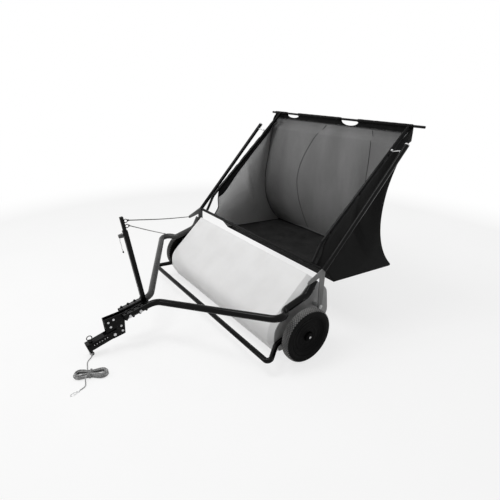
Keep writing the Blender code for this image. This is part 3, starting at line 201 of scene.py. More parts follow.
def hood_paint(dark, light):
    """The housing's pale paint, with specks of dust near the ground."""
    finish = paint("hood_paint", dark, light, 0.34, 0.46, 0.00008, 380.0, Coat_Weight=0.08,
                   Coat_Roughness=0.2, Specular_IOR_Level=0.3)
    low = finish.span(finish.part(2), 0.03, 0.12, 1.0, 0.0)
    specks = finish.span(finish.noise(160.0, 6.0), 0.55, 0.72)
    dust = finish.math("MULTIPLY", finish.math("MULTIPLY", low, specks), 0.35)
    finish.colour(finish.mix(dust, finish.ramp(finish.noise(9.0, 4.0), dark, light), grey(176, 0.05)))
    return finish.material


def zinc():
    finish = Finish("zinc", 0.32, 1.0)
    finish.colour(finish.ramp(finish.cells(320.0, "Color"), grey(196, -0.01), grey(222, -0.005), 0.1, 0.9))
    finish.rough(finish.noise(70.0, 5.0), 0.24, 0.42)
    finish.bump(finish.noise(500.0, 2.0), 0.00006)
    return finish.material


def dark_steel():
    finish = Finish("dark_steel", 0.4, 0.55)
    finish.colour(finish.ramp(finish.noise(60.0, 6.0), grey(26), grey(44, 0.02)))
    finish.rough(finish.noise(45.0, 5.0), 0.28, 0.5)
    finish.bump(finish.noise(380.0, 3.0), 0.0001)
    return finish.material


def rubber(name, dark, light):
    finish = Finish(name, 0.7, Specular_IOR_Level=0.12)
    dust = finish.noise(38.0, 7.0)
    base = finish.ramp(finish.noise(6.0, 3.0), dark, light)
    finish.colour(finish.mix(finish.span(dust, 0.56, 0.8, 0.0, 0.2), base, grey(56, 0.04)))
    finish.rough(dust, 0.58, 0.82)
    finish.bump(finish.noise(620.0, 4.0), 0.00018)
    return finish.material


def plastic(name, dark, light, low, high, grain, scale=900.0, **sockets):
    finish = Finish(name, **sockets)
    finish.colour(finish.ramp(finish.noise(14.0, 3.0), dark, light))
    finish.rough(finish.noise(30.0, 4.0), low, high)
    finish.bump(finish.cells(scale, "Distance"), grain)
    return finish.material


def bristle():
    finish = Finish("bristle", 0.42, Sheen_Weight=0.1)
    finish.colour(finish.ramp(finish.noise(90.0, 2.0), grey(15), grey(34, 0.01)))
    finish.rough(finish.noise(60.0, 2.0), 0.35, 0.55)
    finish.bump(finish.lines(0.0006, 0, "Object"), 0.00005)
    return finish.material


def mesh_cloth(name, thread, hole, pitch=0.0021, fade=None):
    """Open woven mesh: round threads both ways with darker holes between; fade, when given, turns the threads
    pale towards low y, painted light seen through the mesh.
    """
    finish = Finish(name, 0.6, Sheen_Weight=0.02, Sheen_Roughness=0.5, Specular_IOR_Level=0.1)
    across, along = finish.lines(pitch, 0), finish.lines(pitch, 1)
    weave = finish.math("MULTIPLY", across, along)
    tone = finish.noise(3.2, 4.0, "Object", (1.6, 0.6, 0.5))
    tint = finish.ramp(tone, thread[0], thread[1], 0.3, 0.7)
    # painted light: towards the front the threads turn pale, for the white showing through the mesh
    if fade:
        start, end, pale = fade
        tint = finish.mix(finish.span(finish.part(1), start + SHIFT, end + SHIFT, 1.0, 0.0), tint, pale)
    threads = finish.mix(finish.span(finish.noise(850.0, 2.0), 0.3, 0.7, 0.0, 0.25), tint, hole)
    finish.colour(finish.mix(finish.span(weave, 0.62, 0.9), threads, hole))
    finish.rough(tone, 0.5, 0.72)
    finish.bump(weave, 0.0004, 0.8)
    finish.bump(finish.noise(24.0, 3.0), 0.0016, 0.35)
    return finish.material


def heavy_cloth(name, dark, light, pitch=0.0012, rib=True):
    """Coated cloth or webbing: fine close ribs, slight sheen."""
    finish = Finish(name, 0.6, Sheen_Weight=0.02, Sheen_Roughness=0.45, Specular_IOR_Level=0.1)
    tone = finish.noise(11.0, 4.0)
    weave = finish.math("MULTIPLY", finish.lines(pitch, 0), finish.lines(pitch * (0.5 if rib else 1.0), 1))
    base = finish.ramp(tone, dark, light, 0.3, 0.7)
    finish.colour(finish.mix(finish.math("MULTIPLY", weave, 0.4), base, grey(4)))
    finish.rough(finish.noise(40.0, 3.0), 0.48, 0.7)
    finish.bump(weave, 0.0003, 0.7)
    return finish.material


BRAID_PITCH = 0.0042


def braid(name, dark, light):
    """Braided rope: strands crossing in a lay along the rope, from its UVs in metres."""
    finish = Finish(name, 0.78, Sheen_Weight=0.2, Sheen_Roughness=0.4)
    turns = [finish.math("MULTIPLY", finish.part(axis, "UV"), math.pi / BRAID_PITCH) for axis in (0, 1)]
    strands = [finish.ridges(finish.math(way, *turns)) for way in ("ADD", "SUBTRACT")]
    lay = finish.math("MULTIPLY", *strands)
    tint = finish.ramp(finish.noise(160.0, 3.0), dark, light, 0.3, 0.7)
    # The grooves between strands are mixed towards the dark colour: painted shade.
    finish.colour(finish.mix(finish.math("MULTIPLY", finish.math("SUBTRACT", 1.0, lay), 0.55), tint, dark))
    finish.rough(finish.noise(200.0, 2.0), 0.65, 0.88)
    finish.bump(lay, 0.0006)
    return finish.material


BLACK = paint("black_paint", grey(4), grey(7), 0.1, 0.16, 0.00003, Specular_IOR_Level=0.13).material
PLATE_BLACK = paint("black_plate", grey(8), grey(15, 0.01), 0.24, 0.4, 0.00016, 520.0,
                    Specular_IOR_Level=0.14).material
# A lighter copy of the black tube paint, for the right drawbar tube alone: painted sheen.
BLACK_TUBE_PAINTED_SHEEN = paint("black_tube_painted_sheen", grey(52), grey(66, 0.01), 0.22, 0.34, Specular_IOR_Level=0.24).material
HOOD = hood_paint(grey(230, 0.004), grey(236, 0.002))
ARM_GREY = paint("arm_grey", grey(104), grey(124, 0.004), 0.34, 0.5, 0.00008).material
PLATE_GREY = paint("plate_grey", grey(150), grey(168, 0.004), 0.36, 0.52, 0.00008).material
ZINC = zinc()
STEEL = dark_steel()
RUBBER = rubber("rubber", grey(8), grey(13, 0.01))
# The same black rubber, much lighter, for the tread's lug tops: a painted highlight.
TREAD_TOP_HIGHLIGHT = rubber("tread_rubber_painted_highlight", grey(92), grey(132, 0.01))
RIM = plastic("rim_plastic", grey(5), grey(8), 0.44, 0.58, 0.00006, Specular_IOR_Level=0.08)
NYLON = plastic("gear_nylon", grey(206, 0.03), grey(218, 0.02), 0.36, 0.5, 0.00005, 700.0,
                Subsurface_Weight=0.1, Subsurface_Scale=0.002)
CAP = plastic("pale_plastic", grey(214), grey(228), 0.3, 0.42, 0.00004, 800.0)
KNOB = plastic("grey_plastic", grey(52), grey(70), 0.38, 0.52, 0.00009, 850.0)
BRISTLE = bristle()
# The inside of the mesh panels is painted far lighter than the same cloth's outside, OUTSIDE: painted light
# passing through the mesh. The side panels also fade to near white towards the front, painted light as well.
MESH_REAR_PAINTED_BACKLIGHT = mesh_cloth("cloth_mesh_rear", (grey(112), grey(146)), grey(40))
MESH_SIDE_PAINTED_BACKLIGHT = mesh_cloth("cloth_mesh_side", (grey(124), grey(150)), grey(44), fade=(0.18, 0.62, grey(250)))
OUTSIDE = mesh_cloth("cloth_outside", (grey(12), grey(22)), grey(4))
FLOOR_CLOTH = heavy_cloth("cloth_floor", grey(34), grey(52), 0.0014, False)
HEM = heavy_cloth("cloth_hem", grey(8), grey(16), 0.0011)
PIPING = heavy_cloth("cloth_piping", grey(7), grey(14), 0.0009)
ROPE_GREY = braid("rope", grey(140), grey(204))
ROPE_DARK = braid("rope_dark", grey(34), grey(70))
ROPE_PALE = braid("rope_pale", grey(128), grey(176))
SLOT_MATERIALS = {"black_paint": BLACK, "dark_steel": STEEL, "zinc": ZINC, "hood_paint": HOOD,
                  "rubber": RUBBER, "rim_plastic": RIM, "gear_nylon": NYLON, "bristle": BRISTLE, "cloth": HEM,
                  "rope": ROPE_GREY}


# ------------------------------------------------------------------ pieces
def circle(bm, centre, radius, a, b, sides):
    """New vertices round centre, from direction a towards b."""
    turns = [math.tau * k / sides for k in range(sides)]
    return [bm.verts.new(centre + radius * (a * math.cos(t) + b * math.sin(t))) for t in turns]


def join_rings(bm, low, high):
    """Faces between two rings of vertices, without the empty ones at a point."""
    for k in range(len(low)):
        m = (k + 1) % len(low)
        corners = list(dict.fromkeys((low[k], low[m], high[m], high[k])))
        if len(corners) > 2:
            bm.faces.new(corners)


def put_in_scene(name, bm, materials, body, smooth=40.0, outward=False):
    """A new mesh object from a bmesh, smooth up to an angle, riding on a body."""
    if outward:
        bmesh.ops.recalc_face_normals(bm, faces=bm.faces)
    bm.normal_update()
    limit = math.radians(smooth)
    for face in bm.faces:
        face.smooth = True
    for edge in bm.edges:
        if len(edge.link_faces) == 2 and edge.calc_face_angle(0) > limit:
            edge.smooth = False
    mesh = bpy.data.meshes.new(name)
    bm.to_mesh(mesh)
    bm.free()
    obj = bpy.data.objects.new(name, mesh)
    bpy.context.scene.collection.objects.link(obj)
    for material in materials if isinstance(materials, (list, tuple)) else [materials]:
        mesh.materials.append(material)
    if body:
        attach(obj, body)
    return obj


def moving_axes(points, closed=False):
    """At each point: the direction along, and two steady directions across."""
    points = [Vector(p) for p in points]
    count = len(points)
    ways = []
    for i in range(count):
        before = points[i - 1] if i or closed else points[i]
        after = points[(i + 1) % count] if i < count - 1 or closed else points[i]
        ways.append((after - before).normalized())
    across = ways[0].orthogonal().normalized()
    axes = []
    for way in ways:
        across = (across - way * across.dot(way)).normalized()
        axes.append((way, across, way.cross(across)))
    return points, axes


END_RISE, END_WIDTH = 0.45, 0.72         # a swept bar's rounded end, in radii


def add_sweep(bm, points, radius, sides=10, closed=False):
    """A round bar along points, with UVs in metres: along, and around."""
    points, axes = moving_axes(points, closed)
    layer = bm.loops.layers.uv.verify()
    rings, marks, run = [], [], 0.0
    for i, (point, (way, a, b)) in enumerate(zip(points, axes)):
        run += (point - points[i - 1]).length if i else 0.0
        rings.append(circle(bm, point, radius, a, b, sides))
        marks.append(run)
    pairs = list(zip(range(len(rings) - 1), range(1, len(rings))))
    if closed:
        pairs.append((len(rings) - 1, 0))
    step = math.tau * radius / sides
    for i, j in pairs:
        start = marks[i]
        end = marks[j] if j else run + (points[0] - points[-1]).length
        for k in range(sides):
            m = (k + 1) % sides
            face = bm.faces.new((rings[i][k], rings[i][m], rings[j][m], rings[j][k]))
            low, high = k * step, (k + 1) * step
            for loop, uv in zip(face.loops, ((start, low), (start, high), (end, high), (end, low))):
                loop[layer].uv = uv
    if closed:
        return
    for end, sign in ((0, -1), (-1, 1)):
        last, point, (way, a, b) = rings[end], points[end], axes[end]
        inner = circle(bm, point + way * sign * radius * END_RISE, END_WIDTH * radius, a, b, sides)
        for k in range(sides):
            m = (k + 1) % sides
            quad = (last[k], inner[k], inner[m], last[m])
            bm.faces.new(quad if sign < 0 else tuple(reversed(quad)))
        bm.faces.new(inner if sign > 0 else list(reversed(inner)))


def sweep(name, points, radius, material, body, sides=10, closed=False):
    bm = bmesh.new()
    add_sweep(bm, points, radius, sides, closed)
    return put_in_scene(name, bm, material, body, outward=True)


def add_turned(bm, profile, place, axis, sides=24, closed=True):
    """A body of revolution: (along, radius) pairs about an axis through place. Radius 0 closes an end."""
    axis = Vector(axis).normalized()
    a = axis.orthogonal().normalized()
    b = axis.cross(a)
    rings = []
    for along, radius in profile:
        centre = Vector(place) + axis * along
        if radius > 0:
            rings.append(circle(bm, centre, radius, a, b, sides))
        else:
            rings.append([bm.verts.new(centre)] * sides)
    for low, high in list(zip(rings, rings[1:])) + ([(rings[-1], rings[0])] if closed else []):
        join_rings(bm, low, high)


def turned(name, profile, place, axis, sides, material, body, smooth=30.0, scale=1.0):
    """A turned piece of its own. scale multiplies the profile's places along the axis."""
    bm = bmesh.new()
    add_turned(bm, [(scale * along, radius) for along, radius in profile], place, axis, sides, False)
    return put_in_scene(name, bm, material, body, smooth, True)


def places_along(coords, marks=None, step=None):
    """Points on a broken line at marks, or evenly spaced by about a step."""
    lengths = np.concatenate([[0], np.cumsum(np.linalg.norm(np.diff(coords, axis=0), axis=1))])
    if step:
        marks = np.linspace(0, lengths[-1], max(3, round(lengths[-1] / step) + 1))
    return [Vector([float(np.interp(m, lengths, coords[:, k])) for k in range(3)]) for m in marks]


def smooth_curve(knots, step):
    """Evenly spaced points on a smooth curve through knots."""
    knots = np.array([tuple(k) for k in knots], float)
    padded = np.vstack([2 * knots[0] - knots[1], knots, 2 * knots[-1] - knots[-2]])
    dense = []
    for i in range(len(knots) - 1):
        a, b, c, d = padded[i:i + 4]
        for s in np.linspace(0, 1, 16, endpoint=False):
            dense.append(0.5 * (2 * b + (c - a) * s + (2 * a - 5 * b + 4 * c - d) * s * s
                                + (3 * b - a - 3 * c + d) * s ** 3))
    return places_along(np.array(dense + [knots[-1]]), step=step)


def path_length(points):
    return sum((b - a).length for a, b in zip(points, points[1:]))


# ------------------------------------------------------------------ the loose rope
GAP = 0.0003
ROPE_RADIUS = 0.0024
HANK_CENTRE = (0.140, -0.806)
HANK_HEADING = math.radians(63.0)
HANK_HALF_RUN = 0.045
HANK_INNER = 0.0145
HANK_STEP = 0.0065
HANK_LAYER = 0.0054
HANK_TURNS = 7.5
HANK_TURNS_PER_LAYER = 2
HANK_WAIST = 0.0095
LOOP_POINTS = 24
TIE_THICKNESS = 0.0012
TIE_PITCH = 0.0026
TIE_RADIUS = 0.0011
LEAD_ROUTE = ((0.0064, -0.7630, 0.0075), (0.0130, -0.7640, 0.0069), (0.0240, -0.7760, 0.0034),
              (0.0370, -0.7900, 0.0026), (0.0520, -0.7980, 0.0026), (0.0720, -0.8030, 0.0026),
              (0.0920, -0.8080, 0.0026), (0.1080, -0.8100, 0.0030))
TAIL_ROUTE = ((0.1570, -0.8290, 0.0206), (0.1680, -0.8345, 0.0165), (0.1780, -0.8375, 0.0095),
              (0.1880, -0.8405, 0.0036), (0.1960, -0.8470, 0.0026), (0.2010, -0.8560, 0.0026),
              (0.2040, -0.8660, 0.0026))


def hank_point(turn):
    """A point of the hank after so many turns: piled flat loops, drawn in at the waist."""
    layer, radius = 0.0, HANK_INNER + (HANK_TURNS_PER_LAYER - 0.25) * HANK_STEP
    for k in range(int(HANK_TURNS / HANK_TURNS_PER_LAYER) + 1):
        start = 0.0 if k == 0 else k * HANK_TURNS_PER_LAYER + 0.25
        end = (k + 1) * HANK_TURNS_PER_LAYER - 0.25
        radius += (-1 if k % 2 == 0 else 1) * HANK_STEP * min(max(turn - start, 0), end - start)
        layer += min(max((turn - end) / 0.5, 0), 1)
    phase = (turn + 0.125) % 1.0
    quarter = 0.25
    half = HANK_HALF_RUN
    if phase < quarter:
        u, v = half - 2 * half * phase / quarter, radius
    elif phase < 2 * quarter:
        a = math.pi * (phase - quarter) / quarter
        u, v = -half - radius * math.sin(a), radius * math.cos(a)
    elif phase < 3 * quarter:
        u, v = -half + 2 * half * (phase - 2 * quarter) / quarter, -radius
    else:
        a = math.pi * (phase - 3 * quarter) / quarter
        u, v = half + radius * math.sin(a), -radius * math.cos(a)
    if abs(u) < half:
        v -= math.copysign(HANK_WAIST * math.cos(math.pi * u / (2 * half)) ** 2, v)
    x = HANK_CENTRE[0] - u * math.cos(HANK_HEADING) - v * math.sin(HANK_HEADING)
    y = HANK_CENTRE[1] - u * math.sin(HANK_HEADING) + v * math.cos(HANK_HEADING)
    return Vector((x, y, TIE_THICKNESS + 2 * GAP + ROPE_RADIUS + layer * HANK_LAYER))


def rope_path():
    """The rope's centreline: from the hitch pin, through the hank, to the snap."""
    hank = [hank_point(k / LOOP_POINTS) for k in range(round(HANK_TURNS * LOOP_POINTS) + 1)]
    into = (hank[0] - hank[1]).normalized()
    out = (hank[-1] - hank[-2]).normalized()
    lead = smooth_curve([Vector(p) for p in LEAD_ROUTE] + [hank[0] + into * 2 * ROPE_RADIUS], 4 * ROPE_RADIUS)
    tail = smooth_curve([hank[-1] + out * 2 * ROPE_RADIUS] + [Vector(p) for p in TAIL_ROUTE], 4 * ROPE_RADIUS)
    return [at(*p) for p in lead + hank + tail]


ROPE = rope_path()
rope = sweep("hitch_rope", ROPE, ROPE_RADIUS, ROPE_GREY, "chassis", 10)
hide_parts("rope_lead", "rope_hank", "rope_tail")


KNOT_RADIUS, KNOT_FOOT, KNOT_RISE = 0.0082, 0.0030, 0.0050        # round the pin; the rise is for each turn


def pin_knot():
    """Two turns of the rope round the hitch pin, where it is tied on."""
    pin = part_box("hitch_pin")
    x, y = (pin[0][0] + pin[1][0]) / 2, (pin[0][1] + pin[1][1]) / 2
    turns = [Vector((x + KNOT_RADIUS * math.cos(t), y + KNOT_RADIUS * math.sin(t),
                     KNOT_FOOT + KNOT_RISE * t / math.tau)) for t in np.linspace(0.2, 2 * math.tau - 0.1, 40)]
    return sweep("pin_knot", turns, ROPE_RADIUS * 0.95, ROPE_GREY, "chassis", 8)


def hank_tie():
    """Thin cord wound three times round the hank's waist."""
    low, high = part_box("hank_tie")
    centre = (Vector(low) + Vector(high)) / 2
    way = Vector((math.cos(HANK_HEADING), math.sin(HANK_HEADING), 0))
    across = Vector((-way.y, way.x, 0))
    half = HANK_INNER + (HANK_TURNS_PER_LAYER - 0.25) * HANK_STEP - HANK_WAIST + ROPE_RADIUS + 0.0014
    top = high[2] - 0.0006
    bm = bmesh.new()
    for offset in (-TIE_PITCH, 0.0, TIE_PITCH):
        loop = []
        for t in np.linspace(0, math.tau, 28, endpoint=False):
            c, s = math.cos(t), math.sin(t)
            side = math.copysign(abs(c) ** 0.45, c) * half
            lift = math.copysign(abs(s) ** 0.35, s)
            loop.append(Vector((centre.x, centre.y, 0)) + across * side + way * (offset + 0.0004 * s)
                        + Vector((0, 0, TIE_THICKNESS + (top - TIE_THICKNESS) * (lift + 1) / 2)))
        add_sweep(bm, loop, TIE_RADIUS, 6, True)
    tie = put_in_scene("hank_binding", bm, ROPE_PALE, "chassis", outward=True)
    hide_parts("hank_tie")
    return tie


knot = pin_knot()
tie = hank_tie()


# ------------------------------------------------------------------ held ropes of the dump gear
POST_LEAN = math.radians(7.4)
POST_UP = Vector((0, -math.sin(POST_LEAN), math.cos(POST_LEAN)))
POST_BACK = Vector((0, math.cos(POST_LEAN), math.sin(POST_LEAN)))
POST_BASE = Vector((0, -0.497, 0.168))
POST_LOWER_LENGTH = 0.385
EYE_RADIUS = 0.0075
EYE_REACH = 0.0031
EYE_PLACES = [POST_BASE + POST_UP * (POST_LOWER_LENGTH + rise) + POST_BACK * (0.007 + EYE_RADIUS)
              for rise in (0.016, 0.040)]


KNOT = ((-0.006, 0), (-0.005, 0.0034), (0.0, 0.0046), (0.005, 0.0036), (0.007, 0))
KNOT_IN = 0.004                  # from a rope's end to the middle of its knot
HELD_STEP = 0.018


def held_rope(name, node, start, end, sag, material, far_body):
    """A rope held at both ends, in two halves that meet at mid-span."""
    way = (end - start).normalized()
    a, b = start + way * EYE_REACH, end - way * (ROPE_RADIUS + GAP)
    points = [p + Vector((0, SHIFT, 0)) for p in smooth_curve([a, (a + b) / 2 - Vector((0, 0, sag)), b],
                                                             HELD_STEP)]
    middle = len(points) // 2
    front = sweep(name + "_front", points[:middle + 1], ROPE_RADIUS, material, None, 8)
    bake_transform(front)
    still = None if far_body else "chassis"
    rear = sweep(name + "_rear", points[middle:], ROPE_RADIUS, material, still, 8)
    if far_body:
        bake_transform(rear)
    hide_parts(node)
    for end, place, axis, body in (("front", points[0], way, "post_top"),
                                   ("rear", points[-1], -way, far_body or "chassis")):
        turned(f"{name}_knot_{end}", KNOT, place + axis * KNOT_IN, axis, 12, material, body, 40.0)


LUG = Vector((-0.5372, 0.030, 0.356))
STAY_END = Vector((-0.5619, -0.1332, 0.2708))
held_rope("dump_rope", "rope_dump", EYE_PLACES[1] + POST_BACK * EYE_RADIUS, LUG, 0.004, ROPE_DARK, "hopper")
held_rope("stay_rope", "rope_stay", EYE_PLACES[0] + POST_BACK * EYE_RADIUS, STAY_END, 0.0015, ROPE_PALE, None)


# ------------------------------------------------------------------ bag
CROSSBAR = Vector((0.675, 0.944))
CROSSBAR_RADIUS = 0.006
BAG_TUBE_X = 0.467
BAG_TUBE_RADIUS = 0.008
BAG_TUBE_LOW = Vector((0.160, 0.484))
BAG_WAY = (CROSSBAR - BAG_TUBE_LOW).normalized()
BAG_HANG = Vector((BAG_WAY.y, -BAG_WAY.x)) * (BAG_TUBE_RADIUS + GAP)
BAG_SIDE_START = 0.046           # from the bag tube's low end to the side panel
BAG_FRONT_EDGE = ((0.187, 0.462), (0.184, 0.412), (0.152, 0.368), (0.213, 0.324), (0.262, 0.262))
BAG_FLOOR_Z = 0.232
BAG_REAR_Y = 0.703
BAG_CORNER = 0.020               # radius between the floor and the rear wall
BAG_SIDE_PULL = 0.035            # how far the slack cloth hangs in: side panels, rear wall, rear corners
BAG_REAR_PULL = 0.045
BAG_CORNER_PULL = 0.138
BAG_PULL_LOW = 0.75              # under 1 brings the deepest pull down towards the floor
FLARE_START = 0.80               # the top corners slide outward above this share of the profile
FLARE_FROM = 0.41                # the wall stretches outward from here on
FLARE_LEFT = 0.018
FLARE_RIGHT = 0.052
CLOTH = 0.0012
BAG_TOP = CROSSBAR + BAG_HANG
FLOOR_PARTS, BEND_PARTS, REAR_PARTS = 24, 6, 44
HEM_DEPTH = 0.029
SLEEVE_DEPTH = 0.040
HAND_HOLES = ((-0.352, 0.052, 0.017), (0.103, 0.060, 0.024))      # middle, half width and depth


def bag_profile():
    """The floor and rear wall from front to top, as (y, z, share)."""
    front = Vector(BAG_FRONT_EDGE[-1])
    corner = Vector((BAG_REAR_Y, BAG_FLOOR_Z))
    floor_way = (front - corner).normalized()
    wall_way = (BAG_TOP - corner).normalized()
    half = floor_way.angle(wall_way) / 2
    setback = BAG_CORNER / math.tan(half)
    centre = corner + (floor_way + wall_way).normalized() * BAG_CORNER / math.sin(half)
    a, b = corner + floor_way * setback - centre, corner + wall_way * setback - centre
    sweep_angle = a.angle(b)
    steps = max(2, round(math.degrees(sweep_angle) / 22.0))
    shares = 4 + steps + 7
    points = []
    for k in range(FLOOR_PARTS):
        s = k / FLOOR_PARTS
        points.append((front.lerp(centre + a, s), 4 * s / shares))
    for k in range(BEND_PARTS):
        s = k / BEND_PARTS
        mix = (a * math.sin((1 - s) * sweep_angle) + b * math.sin(s * sweep_angle)) / math.sin(sweep_angle)
        points.append((centre + mix, (4 + steps * s) / shares))
    for k in range(REAR_PARTS + 1):
        s = k / REAR_PARTS
        points.append(((centre + b).lerp(BAG_TOP, s), (4 + steps + 7 * s) / shares))
    return points


def rear_pull(point, x):
    rise = (point.y - BAG_FLOOR_Z) / (BAG_TOP.y - BAG_FLOOR_Z)
    if point.x < BAG_REAR_Y - BAG_CORNER or rise <= 0:
        return 0.0
    depth = BAG_REAR_PULL + (BAG_CORNER_PULL - BAG_REAR_PULL) * (x / BAG_TUBE_X) ** 2
    return depth * math.sin(math.pi * min(rise, 1.0) ** BAG_PULL_LOW)


def flare(share, side):
    """How far the cloth's top corners slide out along the crossbar, past the bag tubes."""
    near_top = max(0.0, (share - FLARE_START) / (1 - FLARE_START))
    return (FLARE_LEFT if side > 0 else FLARE_RIGHT) * near_top ** 2 * (3 - 2 * near_top)


def side_pull(share, v):
    """How far a side panel hangs in from its tube, at v from the tube, 0, down to its foot, 1."""
    return BAG_SIDE_PULL * math.sin(math.pi * v) * math.sin(math.pi * min(1.0, 0.15 + share))


def side_spot(share, low, v):
    """Where a side panel is first drawn, as (y, z), at v from its tube, 0, down to its foot, low, 1."""
    first = BAG_TUBE_LOW + BAG_WAY * BAG_SIDE_START
    high = first.lerp(CROSSBAR, share) + BAG_HANG
    fade = max(0.0, 1 - 3 * share) ** 2
    front = [first + BAG_HANG] + [Vector(p) for p in BAG_FRONT_EDGE]
    place = v * (len(front) - 1)
    k = min(int(place), len(front) - 2)
    edge = front[k].lerp(front[k + 1], place - k)
    return high.lerp(low, v).lerp(edge, fade)


def ripple(x, share, v=None):
    """Soft creases in the hanging cloth, in metres inward."""
    if v is None:
        rise = max(0.0, min(1.0, (share - 0.36) / 0.64))
        fade = math.sin(math.pi * min(1.0, rise)) ** 0.7 if rise > 0 else 0.0
        wave = math.sin(17.0 * x + 2.1 * share) * 0.45 + math.sin(31.0 * x - 5.0 * share + 1.0) * 0.3
        return 0.0042 * fade * (0.75 + wave)
    fade = math.sin(math.pi * v) * math.sin(math.pi * min(1.0, 0.1 + share))
    return 0.0045 * fade * (0.8 + 0.6 * math.sin(16.0 * share + 4.0 * v) + 0.3 * math.sin(33.0 * share - 2.0))


def bag_point(share_point, side, v):
    """A point of the bag: at v on side panel -1 or 1, or for side 0 on the floor and rear wall at x = v."""
    point, share = share_point
    if side:
        inset = side_pull(share, v) + ripple(0, share, v)
        return at(side * (BAG_TUBE_X + flare(share, side) - inset), *even_spot(share, v))
    outer = max(0.0, (abs(v) - FLARE_FROM) / (BAG_TUBE_X - FLARE_FROM))
    x = v + math.copysign(flare(share, v) * outer, v)
    return at(x, point.x - rear_pull(point, v) - ripple(v, share), point.y)


PROFILE = bag_profile()
SIDE_SPLITS = 26
REAR_SPLITS = 54
FLOOR_ROWS = FLOOR_PARTS + BEND_PARTS // 2
EVEN_STEPS = 1200                # steps of spreading a side panel's rows apart
EVEN_PACE = 0.8
TOP_ROWS = 9                     # rows under the crossbar that stay as they are drawn


def even_side():
    """The side panels' (y, z) by profile row and v, spread so that no row crosses the next."""
    places = []
    for point, share in PROFILE:
        corner = Vector((point.x - rear_pull(point, BAG_TUBE_X), point.y))
        places.append([tuple(side_spot(share, corner, v)) for v in np.linspace(0, 1, SIDE_SPLITS + 1)])
    places = np.array(places)
    even = places.copy()
    for _ in range(EVEN_STEPS):
        down = (even[2:, 1:-1] - even[:-2, 1:-1]) / 2
        over = (even[1:-1, 2:] - even[1:-1, :-2]) / 2
        a = (over ** 2).sum(-1, keepdims=True)
        b = (down * over).sum(-1, keepdims=True)
        c = (down ** 2).sum(-1, keepdims=True)
        cross = (even[2:, 2:] - even[2:, :-2] - even[:-2, 2:] + even[:-2, :-2]) / 4
        target = a * (even[2:, 1:-1] + even[:-2, 1:-1]) + c * (even[1:-1, 2:] + even[1:-1, :-2])
        target -= 2 * b * cross
        even[1:-1, 1:-1] += EVEN_PACE * (target / (2 * (a + c) + 1e-12) - even[1:-1, 1:-1])
    drawn = np.clip((len(PROFILE) - 1 - np.arange(len(PROFILE))) / TOP_ROWS, 0, 1)[:, None, None]
    return places + (even - places) * drawn


EVEN_SIDE = even_side()
ROW_OF = {share: row for row, (_, share) in enumerate(PROFILE)}


def even_spot(share, v):
    """The (y, z) of a side panel's row at v."""
    row = EVEN_SIDE[ROW_OF[share]]
    low = min(int(v * SIDE_SPLITS), SIDE_SPLITS - 1)
    return row[low] + (row[low + 1] - row[low]) * (v * SIDE_SPLITS - low)


def between(low, high, share):
    """A profile entry part of the way from one to the next."""
    return low[0].lerp(high[0], share), low[1] + (high[1] - low[1]) * share


def add_grid(bm, rows, material_of=None, offset=0.0):
    """Quads over rows of points, with UVs in metres, moved along their normals by offset."""
    layer = bm.loops.layers.uv.verify()
    places = np.array([[tuple(p) for p in row] for row in rows])
    if offset:
        du = np.gradient(places, axis=1)
        dv = np.gradient(places, axis=0)
        normal = np.cross(du, dv)
        length = np.linalg.norm(normal, axis=2, keepdims=True)
        places = places + offset * normal / np.maximum(length, 1e-9)
    runs = [np.cumsum(np.linalg.norm(np.diff(places, axis=axis), axis=2), axis) for axis in (0, 1)]
    us = np.concatenate([np.zeros((len(rows), 1)), runs[1]], 1)
    us = us - us[:, [us.shape[1] // 2]]
    vs = np.concatenate([np.zeros((1, places.shape[1])), runs[0]], 0)
    verts = [[bm.verts.new(p) for p in row] for row in places]
    for i in range(len(verts) - 1):
        for k in range(len(verts[i]) - 1):
            spots = ((i, k), (i, k + 1), (i + 1, k + 1), (i + 1, k))
            face = bm.faces.new([verts[a][b] for a, b in spots])
            face.material_index = material_of(i, k) if material_of else 0
            for loop, (a, b) in zip(face.loops, spots):
                loop[layer].uv = (us[a][b], vs[a][b])
    return verts


def bag_rows():
    rows = []
    for entry in PROFILE:
        row = [bag_point(entry, -1, v) for v in np.linspace(0, 1, SIDE_SPLITS + 1)]
        row += [bag_point(entry, 0, x) for x in np.linspace(-BAG_TUBE_X, BAG_TUBE_X, REAR_SPLITS + 1)[1:-1]]
        row += [bag_point(entry, 1, v) for v in np.linspace(1, 0, SIDE_SPLITS + 1)]
        rows.append(row)
    return rows


def bag_material(i, k):
    on_side = k < SIDE_SPLITS or k >= SIDE_SPLITS + REAR_SPLITS
    if on_side:
        return 1
    return 2 if i < FLOOR_ROWS else 0


def hole_cutter(name, spare=0.0):
    """Half-moon cutters through the hem at the hand holes."""
    bm = bmesh.new()
    for middle, half, depth in HAND_HOLES:
        ring = []
        for t in np.linspace(0, math.pi, 25):
            ring.append((middle + half * math.cos(t), BAG_TOP.y - 0.002 - (depth + spare) * math.sin(t)))
        ring += [(middle - half, BAG_TOP.y + 0.03), (middle + half, BAG_TOP.y + 0.03)]
        front = [bm.verts.new(at(x, 0.60, z)) for x, z in ring]
        back = [bm.verts.new(at(x, 0.76, z)) for x, z in ring]
        bm.faces.new(front)
        bm.faces.new(list(reversed(back)))
        join_rings(bm, front, back)
    bmesh.ops.recalc_face_normals(bm, faces=bm.faces)
    mesh = bpy.data.meshes.new(name)
    bm.to_mesh(mesh)
    bm.free()
    return mesh


def settle(obj):
    """Makes an object's modifiers part of its mesh."""
    bpy.context.view_layer.update()
    graph = bpy.context.evaluated_depsgraph_get()
    mesh = bpy.data.meshes.new_from_object(obj.evaluated_get(graph), depsgraph=graph)
    obj.modifiers.clear()
    obj.data = mesh


